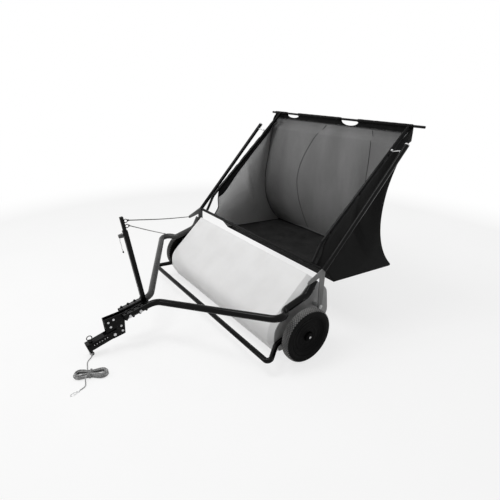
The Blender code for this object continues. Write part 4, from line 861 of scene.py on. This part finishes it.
def cut(obj, mesh):
    """Takes a cutter's shape out of an object."""
    cutter = bpy.data.objects.new("cutter", mesh)
    bpy.context.scene.collection.objects.link(cutter)
    boolean = obj.modifiers.new("cut", "BOOLEAN")
    boolean.object = cutter
    boolean.operation = "DIFFERENCE"
    boolean.solver = "EXACT"
    settle(obj)
    bpy.data.objects.remove(cutter)


def thicken(obj, thickness, offset=0, outside=0):
    """Gives cloth its thickness. outside is how far on in the list its outer face's material is."""
    solid = obj.modifiers.new("thickness", "SOLIDIFY")
    solid.thickness = thickness
    solid.offset = offset
    solid.material_offset = outside
    solid.material_offset_rim = outside
    settle(obj)


ROWS = bag_rows()
bm = bmesh.new()
add_grid(bm, ROWS, bag_material)
# the inner faces take the painted-backlight mesh colours, the outer faces the cloth's own dark OUTSIDE
bag = put_in_scene("bag_cloth", bm, [MESH_REAR_PAINTED_BACKLIGHT, MESH_SIDE_PAINTED_BACKLIGHT, FLOOR_CLOTH, OUTSIDE], None, 75.0)
thicken(bag, CLOTH, -1, 3)
cut(bag, hole_cutter("hand_holes"))
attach(bag, "hopper")
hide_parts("bag")


def hem_cloth(name, grids, thickness, smooth=75.0, offset=0.0):
    """Black cloth over grids of points, with both faces closed."""
    bm = bmesh.new()
    for rows in grids:
        add_grid(bm, rows, offset=offset)
    piece = put_in_scene(name, bm, HEM, None, smooth)
    thicken(piece, thickness)
    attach(piece, "hopper")
    return piece


def top_rows(depth, count=8):
    """Rows of the rear wall over its top, from a depth up to its edge."""
    rows = []
    run = (PROFILE[-1][0] - PROFILE[-2][0]).length
    for s in np.linspace(depth, 0, count + 1):
        k = len(PROFILE) - 1 - s / run
        low = int(min(max(k, 0), len(PROFILE) - 2))
        entry = between(PROFILE[low], PROFILE[low + 1], k - low)
        rows.append([bag_point(entry, 0, x) for x in np.linspace(-BAG_TUBE_X, BAG_TUBE_X, 97)])
    return rows


HEM_ROWS = top_rows(HEM_DEPTH)
TOP_HEM_CLOTH, SIDE_HEM_CLOTH = 0.0044, 0.0040         # folded several times
hem = hem_cloth("top_hem", [HEM_ROWS], TOP_HEM_CLOTH, offset=0.0008)
cut(hem, hole_cutter("hem_holes", 0.0004))
SLEEVE_RADIUS = CROSSBAR_RADIUS + 0.0016
SLEEVE_CLOTH = 0.0009


def bar_sleeve():
    """The hem's loop round the crossbar, in the runs between the hand holes."""
    edges = [-BAG_TUBE_X - FLARE_RIGHT + 0.002]
    for middle, half, _ in HAND_HOLES:
        edges += [middle - half, middle + half]
    edges.append(BAG_TUBE_X + FLARE_LEFT - 0.002)
    grids = []
    for start, end in zip(edges[::2], edges[1::2]):
        count = max(4, round((end - start) / 0.02))
        rows = []
        for x in np.linspace(start, end, count + 1):
            radius = SLEEVE_RADIUS + 0.0006 * math.sin(61.0 * x) ** 2
            rows.append([at(x, CROSSBAR.x + radius * math.sin(t), CROSSBAR.y - radius * math.cos(t))
                         for t in np.linspace(-math.pi * 0.12, math.pi * 2.12, 26)])
        grids.append(rows)
    hem_cloth("crossbar_sleeve", grids, SLEEVE_CLOTH, 60.0)


bar_sleeve()


TUBE_SLEEVE_RUNS = ((0.010, 0.205), (0.232, 0.432))      # along the tube; the last ends at the crossbar
SLEEVE_ROUND = (-0.35 * math.pi, 0.72 * math.pi)         # the part of the tube's round that it covers


def side_sleeve(side, name):
    """Black sleeve over a bag tube's outer side, in three runs, and its band down the side panel."""
    first = BAG_TUBE_LOW + BAG_WAY * BAG_SIDE_START
    length = (CROSSBAR - first).length
    grids = []
    for start, end in (*TUBE_SLEEVE_RUNS, (0.462, length - 0.016)):
        rows = []
        for s in np.linspace(start, end, 15):
            spot = first + BAG_WAY * s
            radius = BAG_TUBE_RADIUS + 0.0011 + 0.0009 * math.sin(45.0 * s + side) ** 2
            ring = []
            for t in np.linspace(*SLEEVE_ROUND, 15):
                down = Vector((BAG_WAY.y, -BAG_WAY.x)) * math.cos(t) * radius
                ring.append(at(side * (BAG_TUBE_X + radius * math.sin(t)), spot.x + down.x, spot.y + down.y))
            rows.append(ring)
        grids.append(rows)
    hem_cloth("tube_sleeve_" + name, grids, SLEEVE_CLOTH, 60.0)
    rows = []
    for entry in PROFILE:
        top, foot = bag_point(entry, side, 0.0), bag_point(entry, side, 1.0)
        reach = min(0.9, SLEEVE_DEPTH / max((foot - top).length, 0.001))
        rows.append([bag_point(entry, side, v) for v in np.linspace(0.0, reach, 6)])
    hem_cloth("side_hem_" + name, [rows[:-2]], SIDE_HEM_CLOTH, offset=0.0006 * side)


for side, name in SIDES:
    side_sleeve(side, name)


SEAM_LIFT = Vector((0, -0.0006, 0))
SEAM_RADIUS = 0.0013


def wall_seam(places):
    """Points on the rear wall through the given (x, z) places."""
    knots = smooth_curve([Vector((x, z, 0)) for x, z in places], 0.012)
    points = []
    for knot_place in knots:
        x, z = knot_place.x, knot_place.y
        best = min(range(len(PROFILE)), key=lambda k: abs(PROFILE[k][0].y - z) if k >= FLOOR_ROWS else 9.0)
        near = best + (1 if PROFILE[best][0].y < z and best < len(PROFILE) - 1 else -1)
        a, b = PROFILE[best], PROFILE[near]
        share = (z - a[0].y) / (b[0].y - a[0].y) if b[0].y != a[0].y else 0.0
        points.append(bag_point(between(a, b, share), 0, x) + SEAM_LIFT)
    return points


SEAMS = (((-0.065, 0.902), (-0.110, 0.860), (-0.150, 0.811), (-0.205, 0.700), (-0.229, 0.589),
          (-0.222, 0.490), (-0.205, 0.400), (-0.186, 0.320), (-0.172, 0.262)),
         ((0.257, 0.902), (0.275, 0.830), (0.292, 0.735), (0.303, 0.620), (0.308, 0.500), (0.302, 0.380),
          (0.290, 0.262)))
for index, places in enumerate(SEAMS):
    sweep(f"wall_seam_{index + 1}", wall_seam(places), SEAM_RADIUS, PIPING, "hopper", 6)


def bag_edge(name, points, radius, shift=(0, 0, 0)):
    """Piping along an edge of the bag, moved by shift."""
    sweep(name, [p + Vector(shift) for p in points], radius, PIPING, "hopper", 8)


bag_edge("floor_piping_rear", ROWS[FLOOR_ROWS][SIDE_SPLITS:SIDE_SPLITS + REAR_SPLITS + 1], 0.0030,
         (0, -0.001, 0.0015))
for side, column, name in ((-1, SIDE_SPLITS, "right"), (1, SIDE_SPLITS + REAR_SPLITS, "left")):
    edge = [row[column] for row in ROWS]
    bag_edge("floor_piping_" + name, edge[1:FLOOR_ROWS], 0.0026, (-side * 0.0012, 0, 0.0012))
    bag_edge("corner_piping_" + name, edge[FLOOR_ROWS:-4], 0.0018, (-side * 0.0008, -0.0008, 0))
bag_edge("front_edge_binding", ROWS[0][1:-1], 0.0024)


def hole_bindings():
    bm = bmesh.new()
    foot = PROFILE[-12]
    for middle, half, depth in HAND_HOLES:
        points = []
        for t in np.linspace(0, math.pi, 27):
            x, z = middle + half * math.cos(t), BAG_TOP.y - 0.002 - depth * math.sin(t)
            share = min(1.0, max(0.0, (z - foot[0].y) / (BAG_TOP.y - foot[0].y)))
            points.append(bag_point(between(foot, PROFILE[-1], share), 0, x))
        add_sweep(bm, points, 0.0026, 8)
    put_in_scene("hand_hole_binding", bm, PIPING, "hopper", outward=True)


hole_bindings()


def stitches(name, points, length=0.005, gap=0.004, radius=0.00045):
    """A row of short stitches along points."""
    coords = np.array([tuple(p) for p in points])
    bm = bmesh.new()
    mark = gap
    while mark + length < path_length(points):
        add_sweep(bm, places_along(coords, (mark, mark + length / 2, mark + length)), radius, 4)
        mark += length + gap
    return put_in_scene(name, bm, ROPE_PALE, "hopper", outward=True)


STITCH_LIFT = Vector((0, -0.0032, 0))
for row in (0, 1):
    stitches(f"hem_stitches_{row + 1}", [p + STITCH_LIFT for p in HEM_ROWS[row]])


# ------------------------------------------------------------------ tyres
AXLE_Z = (TYRE_BOX[0][2] + TYRE_BOX[1][2]) / 2
TREAD_PITCHES = 58
GROOVE = 0.0024
TYRE_R = AXLE_Z - 0.0002


# Half the tyre's outline from the crown to the bead, as x offset and radius.
SECTION = ((0.0, TYRE_R), (0.007, TYRE_R - 0.0003), (0.0135, TYRE_R - 0.0015), (0.0175, TYRE_R - 0.0045),
           (0.0200, TYRE_R - 0.0095), (0.0212, TYRE_R - 0.0150), (0.0214, TYRE_R - 0.0200))
SECTION_RUN = np.concatenate([[0], np.cumsum([math.dist(a, b) for a, b in zip(SECTION, SECTION[1:])])])
SLOPE_REACH = 0.001


def section_at(run):
    run = min(max(run, 0.0), SECTION_RUN[-1])
    return np.array([np.interp(run, SECTION_RUN, column) for column in zip(*SECTION)])


def tread_point(side_x, around, across, lift):
    """A point of the tread: around in radians, across in metres of the section's own length."""
    run = abs(across)
    dx, dr = section_at(run + SLOPE_REACH) - section_at(run - SLOPE_REACH)
    length = math.hypot(dx, dr) or 1.0
    x, r = section_at(run) + lift * np.array((-dr, dx)) / length
    return at(side_x + math.copysign(x, across), r * math.sin(around), AXLE_Z + r * math.cos(around))


def add_lug(bm, side_x, angle, across, half_angle, half_width):
    """One raised diamond of the tread, its flat top given the light tread colour, a painted highlight."""
    rings = []
    for share, rise in ((0.94, -0.0040), (0.80, 0.0)):
        ring = []
        for a, b in ((1, 0), (0, 1), (-1, 0), (0, -1)):
            place = across + b * half_width * share
            place = max(-SECTION_RUN[-1], min(SECTION_RUN[-1], place))
            ring.append(bm.verts.new(tread_point(side_x, angle + a * half_angle * share, place, rise)))
        rings.append(ring)
    join_rings(bm, *rings)
    # the lug's top face takes the second material, the painted highlight
    bm.faces.new(rings[1]).material_index = 1


SIDE_WALL = ((0.0214, TYRE_R - 0.0215), (0.02165, 0.1020), (0.0212, 0.1005), (0.0218, 0.0990),
             (0.0210, 0.0975), (0.0200, 0.0950), (0.0190, 0.0925))
INSIDE_BEAD = ((0.0175, 0.0920), (-0.0175, 0.0920))
LUG_WIDTH = 0.0098
LUG_ROWS = range(-4, 5)


def make_tyre(name):
    """A tyre's grooved casing with its rows of raised diamonds, every second row set back half a pitch."""
    low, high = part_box("tyre_" + name)
    middle = (low[0] + high[0]) / 2
    half = (high[0] - low[0]) / 2
    bm = bmesh.new()
    wall = [(x, r - GROOVE) for x, r in SECTION[:-1]] + [(min(x, half - 0.0002), r) for x, r in SIDE_WALL]
    outline = [(-x, r) for x, r in reversed(wall[1:])] + wall + list(INSIDE_BEAD)
    add_turned(bm, outline, (middle, SHIFT, AXLE_Z), (1, 0, 0), 96)
    pitch = math.tau / TREAD_PITCHES
    for k in range(TREAD_PITCHES):
        for row in LUG_ROWS:
            add_lug(bm, middle, (k + 0.5 * (row % 2)) * pitch, row * LUG_WIDTH / 2, pitch / 2, LUG_WIDTH / 2)
    tyre = put_in_scene("treaded_tyre_" + name, bm, [RUBBER, TREAD_TOP_HIGHLIGHT], name + "_wheel", 20.0, True)
    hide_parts("tyre_" + name)


DISH = ((-0.0110, 0.0205), (-0.0070, 0.0225), (-0.0060, 0.0260), (-0.0085, 0.0300), (-0.0095, 0.0400),
        (-0.0085, 0.0425), (-0.0085, 0.0445), (-0.0095, 0.0470), (-0.0088, 0.0620), (-0.0074, 0.0650),
        (-0.0074, 0.0675), (-0.0086, 0.0700), (-0.0060, 0.0820), (-0.0018, 0.0872), (-0.0012, 0.0880),
        (-0.0135, 0.0880), (-0.0135, 0.0205))
BEAD_RING = ((-0.0030, 0.0880), (-0.0006, 0.0892), (-0.0004, 0.0908), (-0.0024, 0.0914), (-0.0030, 0.0900))
AXLE_END = ((-0.0008, 0), (-0.0008, 0.0060), (0.0004, 0.0058), (0.0012, 0.0042), (0.0015, 0))


def make_rim(side, name):
    """Dished wheel face with two raised rings, the bead ring, a hub ring, and the bolt end in the cap."""
    low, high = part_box("rim_" + name)
    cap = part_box("hub_cap_" + name)
    centre = Vector((0, SHIFT, AXLE_Z))
    face = max(abs(low[0]), abs(high[0]))
    bm = bmesh.new()
    for outline in (DISH, BEAD_RING):
        add_turned(bm, [(side * (face + x), r) for x, r in outline], centre, (1, 0, 0), 72)
    put_in_scene("wheel_face_" + name, bm, RIM, name + "_wheel", 30.0, outward=True)
    end = Vector((side * max(abs(cap[0][0]), abs(cap[1][0])), 0, 0))
    turned("axle_end_" + name, AXLE_END, centre + end, (1, 0, 0), 24, CAP, name + "_wheel",
           scale=side)


for side, name in SIDES:
    make_tyre(name)
    make_rim(side, name)


# ------------------------------------------------------------------ brush bristles
BRUSH_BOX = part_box("brush_core")
BRUSH_CENTRE = Vector((0, (BRUSH_BOX[0][1] + BRUSH_BOX[1][1]) / 2, (BRUSH_BOX[0][2] + BRUSH_BOX[1][2]) / 2))
TUFTS = 76
TUFT_PITCH = 0.0124
FILAMENTS = 9                    # in each tuft
TUFT_SPREAD, TUFT_LEAN, CRIMP = 0.0052, 0.0042, 0.001
FOOT_RADIUS, TIP_RADII = 0.0315, (0.1175, 0.1215)
STRIP_HALF = 0.0068              # half a base strip's width


def bristle_row(row):
    """Strips of crimped filaments, one row of the brush, from its base strip to the tips."""
    angle = (row - 1) * math.pi / 2
    way = Vector((0, -math.sin(angle), math.cos(angle)))
    across = Vector((0, way.z, -way.y))
    bm = bmesh.new()
    for tuft in range(TUFTS):
        x = (tuft - (TUFTS - 1) / 2) * TUFT_PITCH
        for _ in range(FILAMENTS):
            spread = random.uniform(-TUFT_SPREAD, TUFT_SPREAD)
            lean = random.uniform(-TUFT_LEAN, TUFT_LEAN)
            tip = random.uniform(*TIP_RADII)
            turn = random.uniform(0, math.tau)
            foot = Vector((x + spread * 0.7, 0, 0)) + way * FOOT_RADIUS + across * lean * 0.5
            end = Vector((x + spread, 0, 0)) + way * tip + across * lean * 1.3
            mid_way = foot.lerp(end, 0.55) + across * random.uniform(-CRIMP, CRIMP)
            corners = [Vector((math.cos(t), 0, 0)) + across * math.sin(t)
                       for t in (turn, turn + math.tau / 3, turn + 2 * math.tau / 3)]
            low, mid, top = ([bm.verts.new(BRUSH_CENTRE + spot + corner * radius) for corner in corners]
                             for spot, radius in ((foot, 0.0010), (mid_way, 0.0009), (end, 0.0006)))
            join_rings(bm, low, mid)
            join_rings(bm, mid, top)
            bm.faces.new(top)
            bm.faces.new(list(reversed(low)))
    half = (TUFTS - 1) / 2 * TUFT_PITCH + 0.006
    ring = []
    for depth, wide in ((0.0275, 1.0), (0.0335, 1.0), (0.0345, 0.7)):
        ring.append([bm.verts.new(BRUSH_CENTRE + Vector((x * half, 0, 0)) + way * depth
                                  + across * y * STRIP_HALF * wide)
                     for x, y in ((-1, -1), (1, -1), (1, 1), (-1, 1))])
    for a, b in zip(ring, ring[1:]):
        join_rings(bm, a, b)
    bm.faces.new(ring[-1])
    bm.faces.new(list(reversed(ring[0])))
    piece = put_in_scene(f"bristles_{row}", bm, BRISTLE, "brush", 30.0, outward=True)
    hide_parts(f"bristle_row_{row}")


for row in (1, 2, 3, 4):
    bristle_row(row)


# ------------------------------------------------------------------ fasteners and small fittings
WASHER = 0.0013                  # a washer's thickness
SEATED = 0.0004                  # how far a head or washer reaches into what it sits on


def add_hex(bm, place, axis, across_flats, height, washer=None):
    """A hex head with a chamfered top on a washer, seated at place and standing along axis."""
    axis = Vector(axis).normalized()
    base = WASHER if washer else 0.0
    if washer:
        add_turned(bm, [(-SEATED, 0), (-SEATED, washer), (WASHER - 0.0003, washer), (WASHER, washer - 0.0004),
                        (WASHER, 0)], place, axis, 20, False)
    radius = across_flats / math.sqrt(3)
    add_turned(bm, [(base - SEATED, 0), (base - SEATED, radius), (base + height * 0.82, radius),
                    (base + height, radius * 0.86), (base + height, 0)], place, axis, 6, False)


def fasteners(name, entries, body, material=None):
    """Hex heads with washers: (place, axis, across flats, height, washer radius)."""
    bm = bmesh.new()
    for place, axis, flats, height, washer in entries:
        add_hex(bm, place, axis, flats, height, washer)
    return put_in_scene(name, bm, material or ZINC, body, 25.0, outward=True)


PLATE_BOLTS = ((-0.676, 0.143), (-0.652, 0.151), (-0.668, 0.118), (-0.622, 0.108), (-0.618, 0.082))
TONGUE_TIP = (-0.780, 0.046)
STUDS = 6
STUD_START, STUD_PITCH, STUD_RISE = 0.032, 0.0125, 0.004          # from the tongue's tip


def hitch_fasteners():
    """Bolts with pale washers on both hitch plates and small studs along the tongue's cheeks."""
    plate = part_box("hitch_plate_left")[1][0]
    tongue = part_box("hitch_tongue")[1][0]
    slope = math.radians(15.0)
    entries = []
    for side in (1, -1):
        axis = (side, 0, 0)
        for y, z in PLATE_BOLTS:
            entries.append((at(side * plate, y, z), axis, 0.0066, 0.0034, 0.0054))
        for k in range(STUDS):
            back = STUD_START + STUD_PITCH * k
            y = TONGUE_TIP[0] + back * math.cos(slope) - STUD_RISE * math.sin(slope)
            z = TONGUE_TIP[1] + back * math.sin(slope) + STUD_RISE * math.cos(slope)
            entries.append((at(side * tongue, y, z), axis, 0.0034, 0.0012, None))
    fasteners("hitch_fasteners", entries, "chassis")


DRAWBAR_END_X, DRAWBAR_END_Y, DRAWBAR_END_Z = 0.0305, -0.608, 0.157
DRAWBAR_SLOPE = 0.031 / 0.153
BOLT_REACH = 0.0157              # from a tube's middle to the seat of a head


def top_bolts():
    """Hex heads along the top of the hitch and their nuts below the tubes."""
    entries = []
    for y in (-0.598, -0.566, -0.534, -0.503):
        z = DRAWBAR_END_Z + (y - DRAWBAR_END_Y) * DRAWBAR_SLOPE
        for side in (1, -1):
            x = side * DRAWBAR_END_X
            entries.append((at(x, y, z + BOLT_REACH), (0, -0.2, 0.98), 0.0090, 0.0048, 0.0072))
            entries.append((at(x, y, z - BOLT_REACH), (0, 0.2, -0.98), 0.0090, 0.0052, 0.0072))
    fasteners("hitch_top_bolts", entries, "chassis", PLATE_BLACK)


TUBE_BOLT_X = 0.5347
GUARD_BOLT_X = 0.503 + 0.0003 + 2 * 0.0119 - 0.0004
PIVOT_END = ((-0.001, 0), (-0.001, 0.0058), (0.0010, 0.0054), (0.0018, 0.0036), (0.0020, 0))


def frame_bolts():
    """Carriage heads where the tubes meet the end plates, and the pivots' washers and bolt ends."""
    entries = []
    for side in (1, -1):
        for y, z in ((0.062, 0.318), (0.010, 0.279)):
            entries.append((at(side * TUBE_BOLT_X, y, z), (side, 0, 0), 0.0088, 0.0036, None))
        entries.append((at(side * GUARD_BOLT_X, -0.078, 0.105), (side, 0, 0), 0.0090, 0.0045, 0.0080))
    fasteners("frame_bolts", entries, "chassis", STEEL)
    for side, name in SIDES:
        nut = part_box("pivot_bolt_" + name)
        end = side * max(abs(nut[0][0]), abs(nut[1][0]))
        turned("pivot_end_" + name, PIVOT_END, at(end, 0.102, 0.218), (1, 0, 0), 20, CAP, "chassis",
               scale=side)


HOPPER_PLUG = ((-0.004, 0), (-0.004, 0.0085), (0.0002, 0.0088), (0.0002, 0.0112), (0.0030, 0.0113),
               (0.0060, 0.0102), (0.0072, 0.0080), (0.0074, 0))
CROSSBAR_PLUG = ((-0.004, 0), (-0.004, 0.0050), (0.0001, 0.0051), (0.0001, 0.0062), (0.0016, 0.0060),
                 (0.0026, 0.0046), (0.0028, 0))
DRAWBAR_PLUG = ((-0.004, 0), (-0.004, 0.0125), (0.0001, 0.0127), (0.0001, 0.0160), (0.0022, 0.0158),
                (0.0036, 0.0135), (0.0040, 0))
HOPPER_TUBE_LOW, HOPPER_TUBE_TOP = Vector((0.1103, 0.392)), Vector((0.5698, 0.8731))


def tube_plugs():
    """Moulded end plugs: pale in the hopper tubes' tops, black in the other tube ends."""
    rise = (HOPPER_TUBE_TOP - HOPPER_TUBE_LOW).normalized()
    for side, name in SIDES:
        turned("tube_plug_" + name, HOPPER_PLUG, at(side * 0.5392, *HOPPER_TUBE_TOP), (0, rise.x, rise.y), 24,
               CAP, "hopper")
        turned("crossbar_plug_" + name, CROSSBAR_PLUG, at(side * 0.545, *CROSSBAR), (1, 0, 0), 20, RIM,
               "hopper", scale=side)
        turned("drawbar_plug_" + name, DRAWBAR_PLUG, at(side * DRAWBAR_END_X, DRAWBAR_END_Y, DRAWBAR_END_Z),
               (0, -0.980, -0.199), 24, RIM, "chassis")


def link_clips():
    """Screws with washers at the ends of the two frame links."""
    for side, name in SIDES:
        low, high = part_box("frame_link_" + name)
        middle = (Vector(low) + Vector(high)) / 2
        entries = []
        for x in (0.4800, 0.5240):
            spot = Vector((side * x, middle.y, middle.z))
            entries.append((spot + Vector((0, -0.0020, 0.0022)), (0, -0.67, 0.74), 0.0062, 0.0026, 0.0050))
        fasteners("link_screws_" + name, entries, "hopper")


LANYARD = ((0, 0, 0), (0.0012, -0.0020, -0.014), (0.0004, 0.0020, -0.034), (-0.0012, 0.0026, -0.050),
           (0, 0.0060, -0.062))
LANYARD_RADIUS = 0.0011
BEAD = ((-0.005, 0), (-0.0042, 0.0022), (-0.0015, 0.0036), (0.0015, 0.0036), (0.0042, 0.0022), (0.005, 0))


def knob_lanyard():
    """A thin cord that hangs from the clamp knob, with a bead on its end."""
    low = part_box("post_knob")[0]
    start = Vector((0.0, low[1] + 0.006, low[2] + 0.0012))
    cord = smooth_curve([start + Vector(p) for p in LANYARD], 0.004)
    piece = sweep("knob_lanyard", cord, LANYARD_RADIUS, ROPE_GREY, "post_knob", 6)
    bead = turned("lanyard_bead", BEAD, cord[-1] + Vector((0, 0, -0.004)), (0, 0.1, -1), 16, KNOB,
                  "post_knob", 50.0)


hitch_fasteners()
top_bolts()
frame_bolts()
tube_plugs()
link_clips()
knob_lanyard()


# ------------------------------------------------------------------ CAD nodes: finer edges and their finishes
# The right drawbar tube takes the lighter copy of the black paint, a painted sheen.
GREY_NODES = {"drawbar_tube_right": BLACK_TUBE_PAINTED_SHEEN, "hopper_arm_left": ARM_GREY, "hopper_arm_right": ARM_GREY,
              "end_plate_left": PLATE_GREY, "end_plate_right": PLATE_GREY, "post_knob": KNOB,
              "hitch_plate_left": PLATE_BLACK, "hitch_plate_right": PLATE_BLACK, "hitch_tongue": PLATE_BLACK,
              "post_lower": PLATE_BLACK, "post_upper": PLATE_BLACK, "hopper_crossbar": BLACK,
              "hitch_pin": STEEL, "hub_cap_left": RIM, "hub_cap_right": RIM}
BEVELS = {"hitch_plate_left": 0.0006, "hitch_plate_right": 0.0006, "post_lower": 0.0010, "post_upper": 0.0007,
          "hitch_tongue": 0.0008, "hopper_arm_left": 0.0005, "hopper_arm_right": 0.0005,
          "end_plate_left": 0.0005, "end_plate_right": 0.0005}
ROUND_PARTS = ("tube", "guard", "crossbar", "front_bar", "rope", "tie", "clip", "pin", "link", "hook")
TUBE_SPLIT, OTHER_SPLIT = 50.0, 32.0
for name, node in frame["nodes"].items():
    if node.type != "MESH":
        continue
    for index, material in enumerate(node.data.materials):
        slot_name = material.name.split(".")[0] if material else "black_paint"
        node.data.materials[index] = GREY_NODES.get(name, SLOT_MATERIALS.get(slot_name, BLACK))
    for polygon in node.data.polygons:
        polygon.use_smooth = True
    weld = node.modifiers.new("weld", "WELD")
    weld.merge_threshold = 0.00001
    if name in BEVELS:
        bevel = node.modifiers.new("edge", "BEVEL")
        bevel.width = BEVELS[name]
        bevel.segments = 2
        bevel.limit_method = "ANGLE"
        bevel.angle_limit = math.radians(40)
    split = node.modifiers.new("sharp", "EDGE_SPLIT")
    split.split_angle = math.radians(TUBE_SPLIT if any(part in name for part in ROUND_PARTS) else OTHER_SPLIT)


# ------------------------------------------------------------------ floor, light
FLOOR_NEAR, FLOOR_FAR = 0.9, 3.2         # between these distances the floor turns to plain white
FLOOR_WHITE = 0.74                       # the white's share near the object, so that the shadow stays


def make_floor():
    mesh = bpy.data.meshes.new("floor")
    bm = bmesh.new()
    bmesh.ops.create_circle(bm, cap_ends=True, segments=96, radius=14.0)
    bm.to_mesh(mesh)
    bm.free()
    floor = bpy.data.objects.new("floor", mesh)
    bpy.context.scene.collection.objects.link(floor)
    floor.location.z = -0.0006
    finish = Finish("floor", 0.8, Specular_IOR_Level=0.1)
    place = finish.coordinates.outputs["Object"]
    centre = finish.node("VectorMath", {0: place}, operation="LENGTH").outputs["Value"]
    away = finish.node("MapRange", {"Value": centre, "From Min": FLOOR_NEAR, "From Max": FLOOR_FAR},
                       interpolation_type="SMOOTHSTEP").outputs[0]
    shown = finish.math("MULTIPLY", finish.node("LightPath").outputs["Is Camera Ray"], FLOOR_WHITE)
    share = finish.math("MAXIMUM", away, shown)
    finish.colour(finish.ramp(finish.noise(3.0, 4.0), grey(250), grey(253)))
    finish.bump(finish.noise(180.0, 3.0), 0.0002, 0.2)
    white = finish.node("Emission", {"Color": (1, 1, 1, 1), "Strength": 1.0})
    mix = finish.node("MixShader", {0: share, 1: finish.shader.outputs[0], 2: white.outputs[0]})
    finish.tree.links.new(mix.outputs[0], finish.tree.nodes["Material Output"].inputs[0])
    mesh.materials.append(finish.material)


LIGHT_FROM = (-0.72, -0.38, 0.58)
LIGHT_LOW, LIGHT_HIGH = 0.12, 0.56


def make_world():
    """Soft light, stronger from one side, in front of a background seen as white."""
    world = bpy.data.worlds.new("studio")
    bpy.context.scene.world = world
    world.use_nodes = True
    tree = world.node_tree
    tree.nodes.clear()
    paths = add_node(tree, "LightPath").outputs
    seen = paths["Is Camera Ray"]
    for key in ("Is Glossy Ray", "Is Transmission Ray"):
        seen = add_node(tree, "Math", {0: seen, 1: paths[key]}, operation="MAXIMUM").outputs[0]
    around = add_node(tree, "TexCoord").outputs["Generated"]
    facing = add_node(tree, "VectorMath", {0: around, 1: LIGHT_FROM},
                      operation="DOT_PRODUCT").outputs["Value"]
    level = add_node(tree, "MapRange", {"Value": facing, "From Min": -1.0, "To Min": LIGHT_LOW,
                                        "To Max": LIGHT_HIGH}).outputs[0]
    light = add_node(tree, "Background", {0: (1, 1, 1, 1), 1: level})
    shown = add_node(tree, "Background", {0: (1, 1, 1, 1), 1: 1.0})
    mix = add_node(tree, "MixShader", {0: seen, 1: light.outputs[0], 2: shown.outputs[0]})
    add_node(tree, "OutputWorld", {0: mix.outputs[0]})


def area_light(name, place, target, size, power):
    data = bpy.data.lights.new(name, "AREA")
    data.shape = "RECTANGLE"
    data.size, data.size_y = size
    data.energy = power
    lamp = bpy.data.objects.new(name, data)
    bpy.context.scene.collection.objects.link(lamp)
    lamp.location = place
    lamp.rotation_euler = (Vector(target) - Vector(place)).to_track_quat("-Z", "Y").to_euler()


make_floor()
make_world()
area_light("overhead", (-0.35, -0.9, 3.1), (0, -0.1, 0.3), (0.9, 1.5), 34.0)
area_light("front", (-1.6, -3.2, 2.4), (0, 0, 0.3), (1.0, 1.0), 20.0)
area_light("rear", (0.6, 2.8, 2.6), (0, 0.3, 0.4), (1.4, 0.5), 10.0)
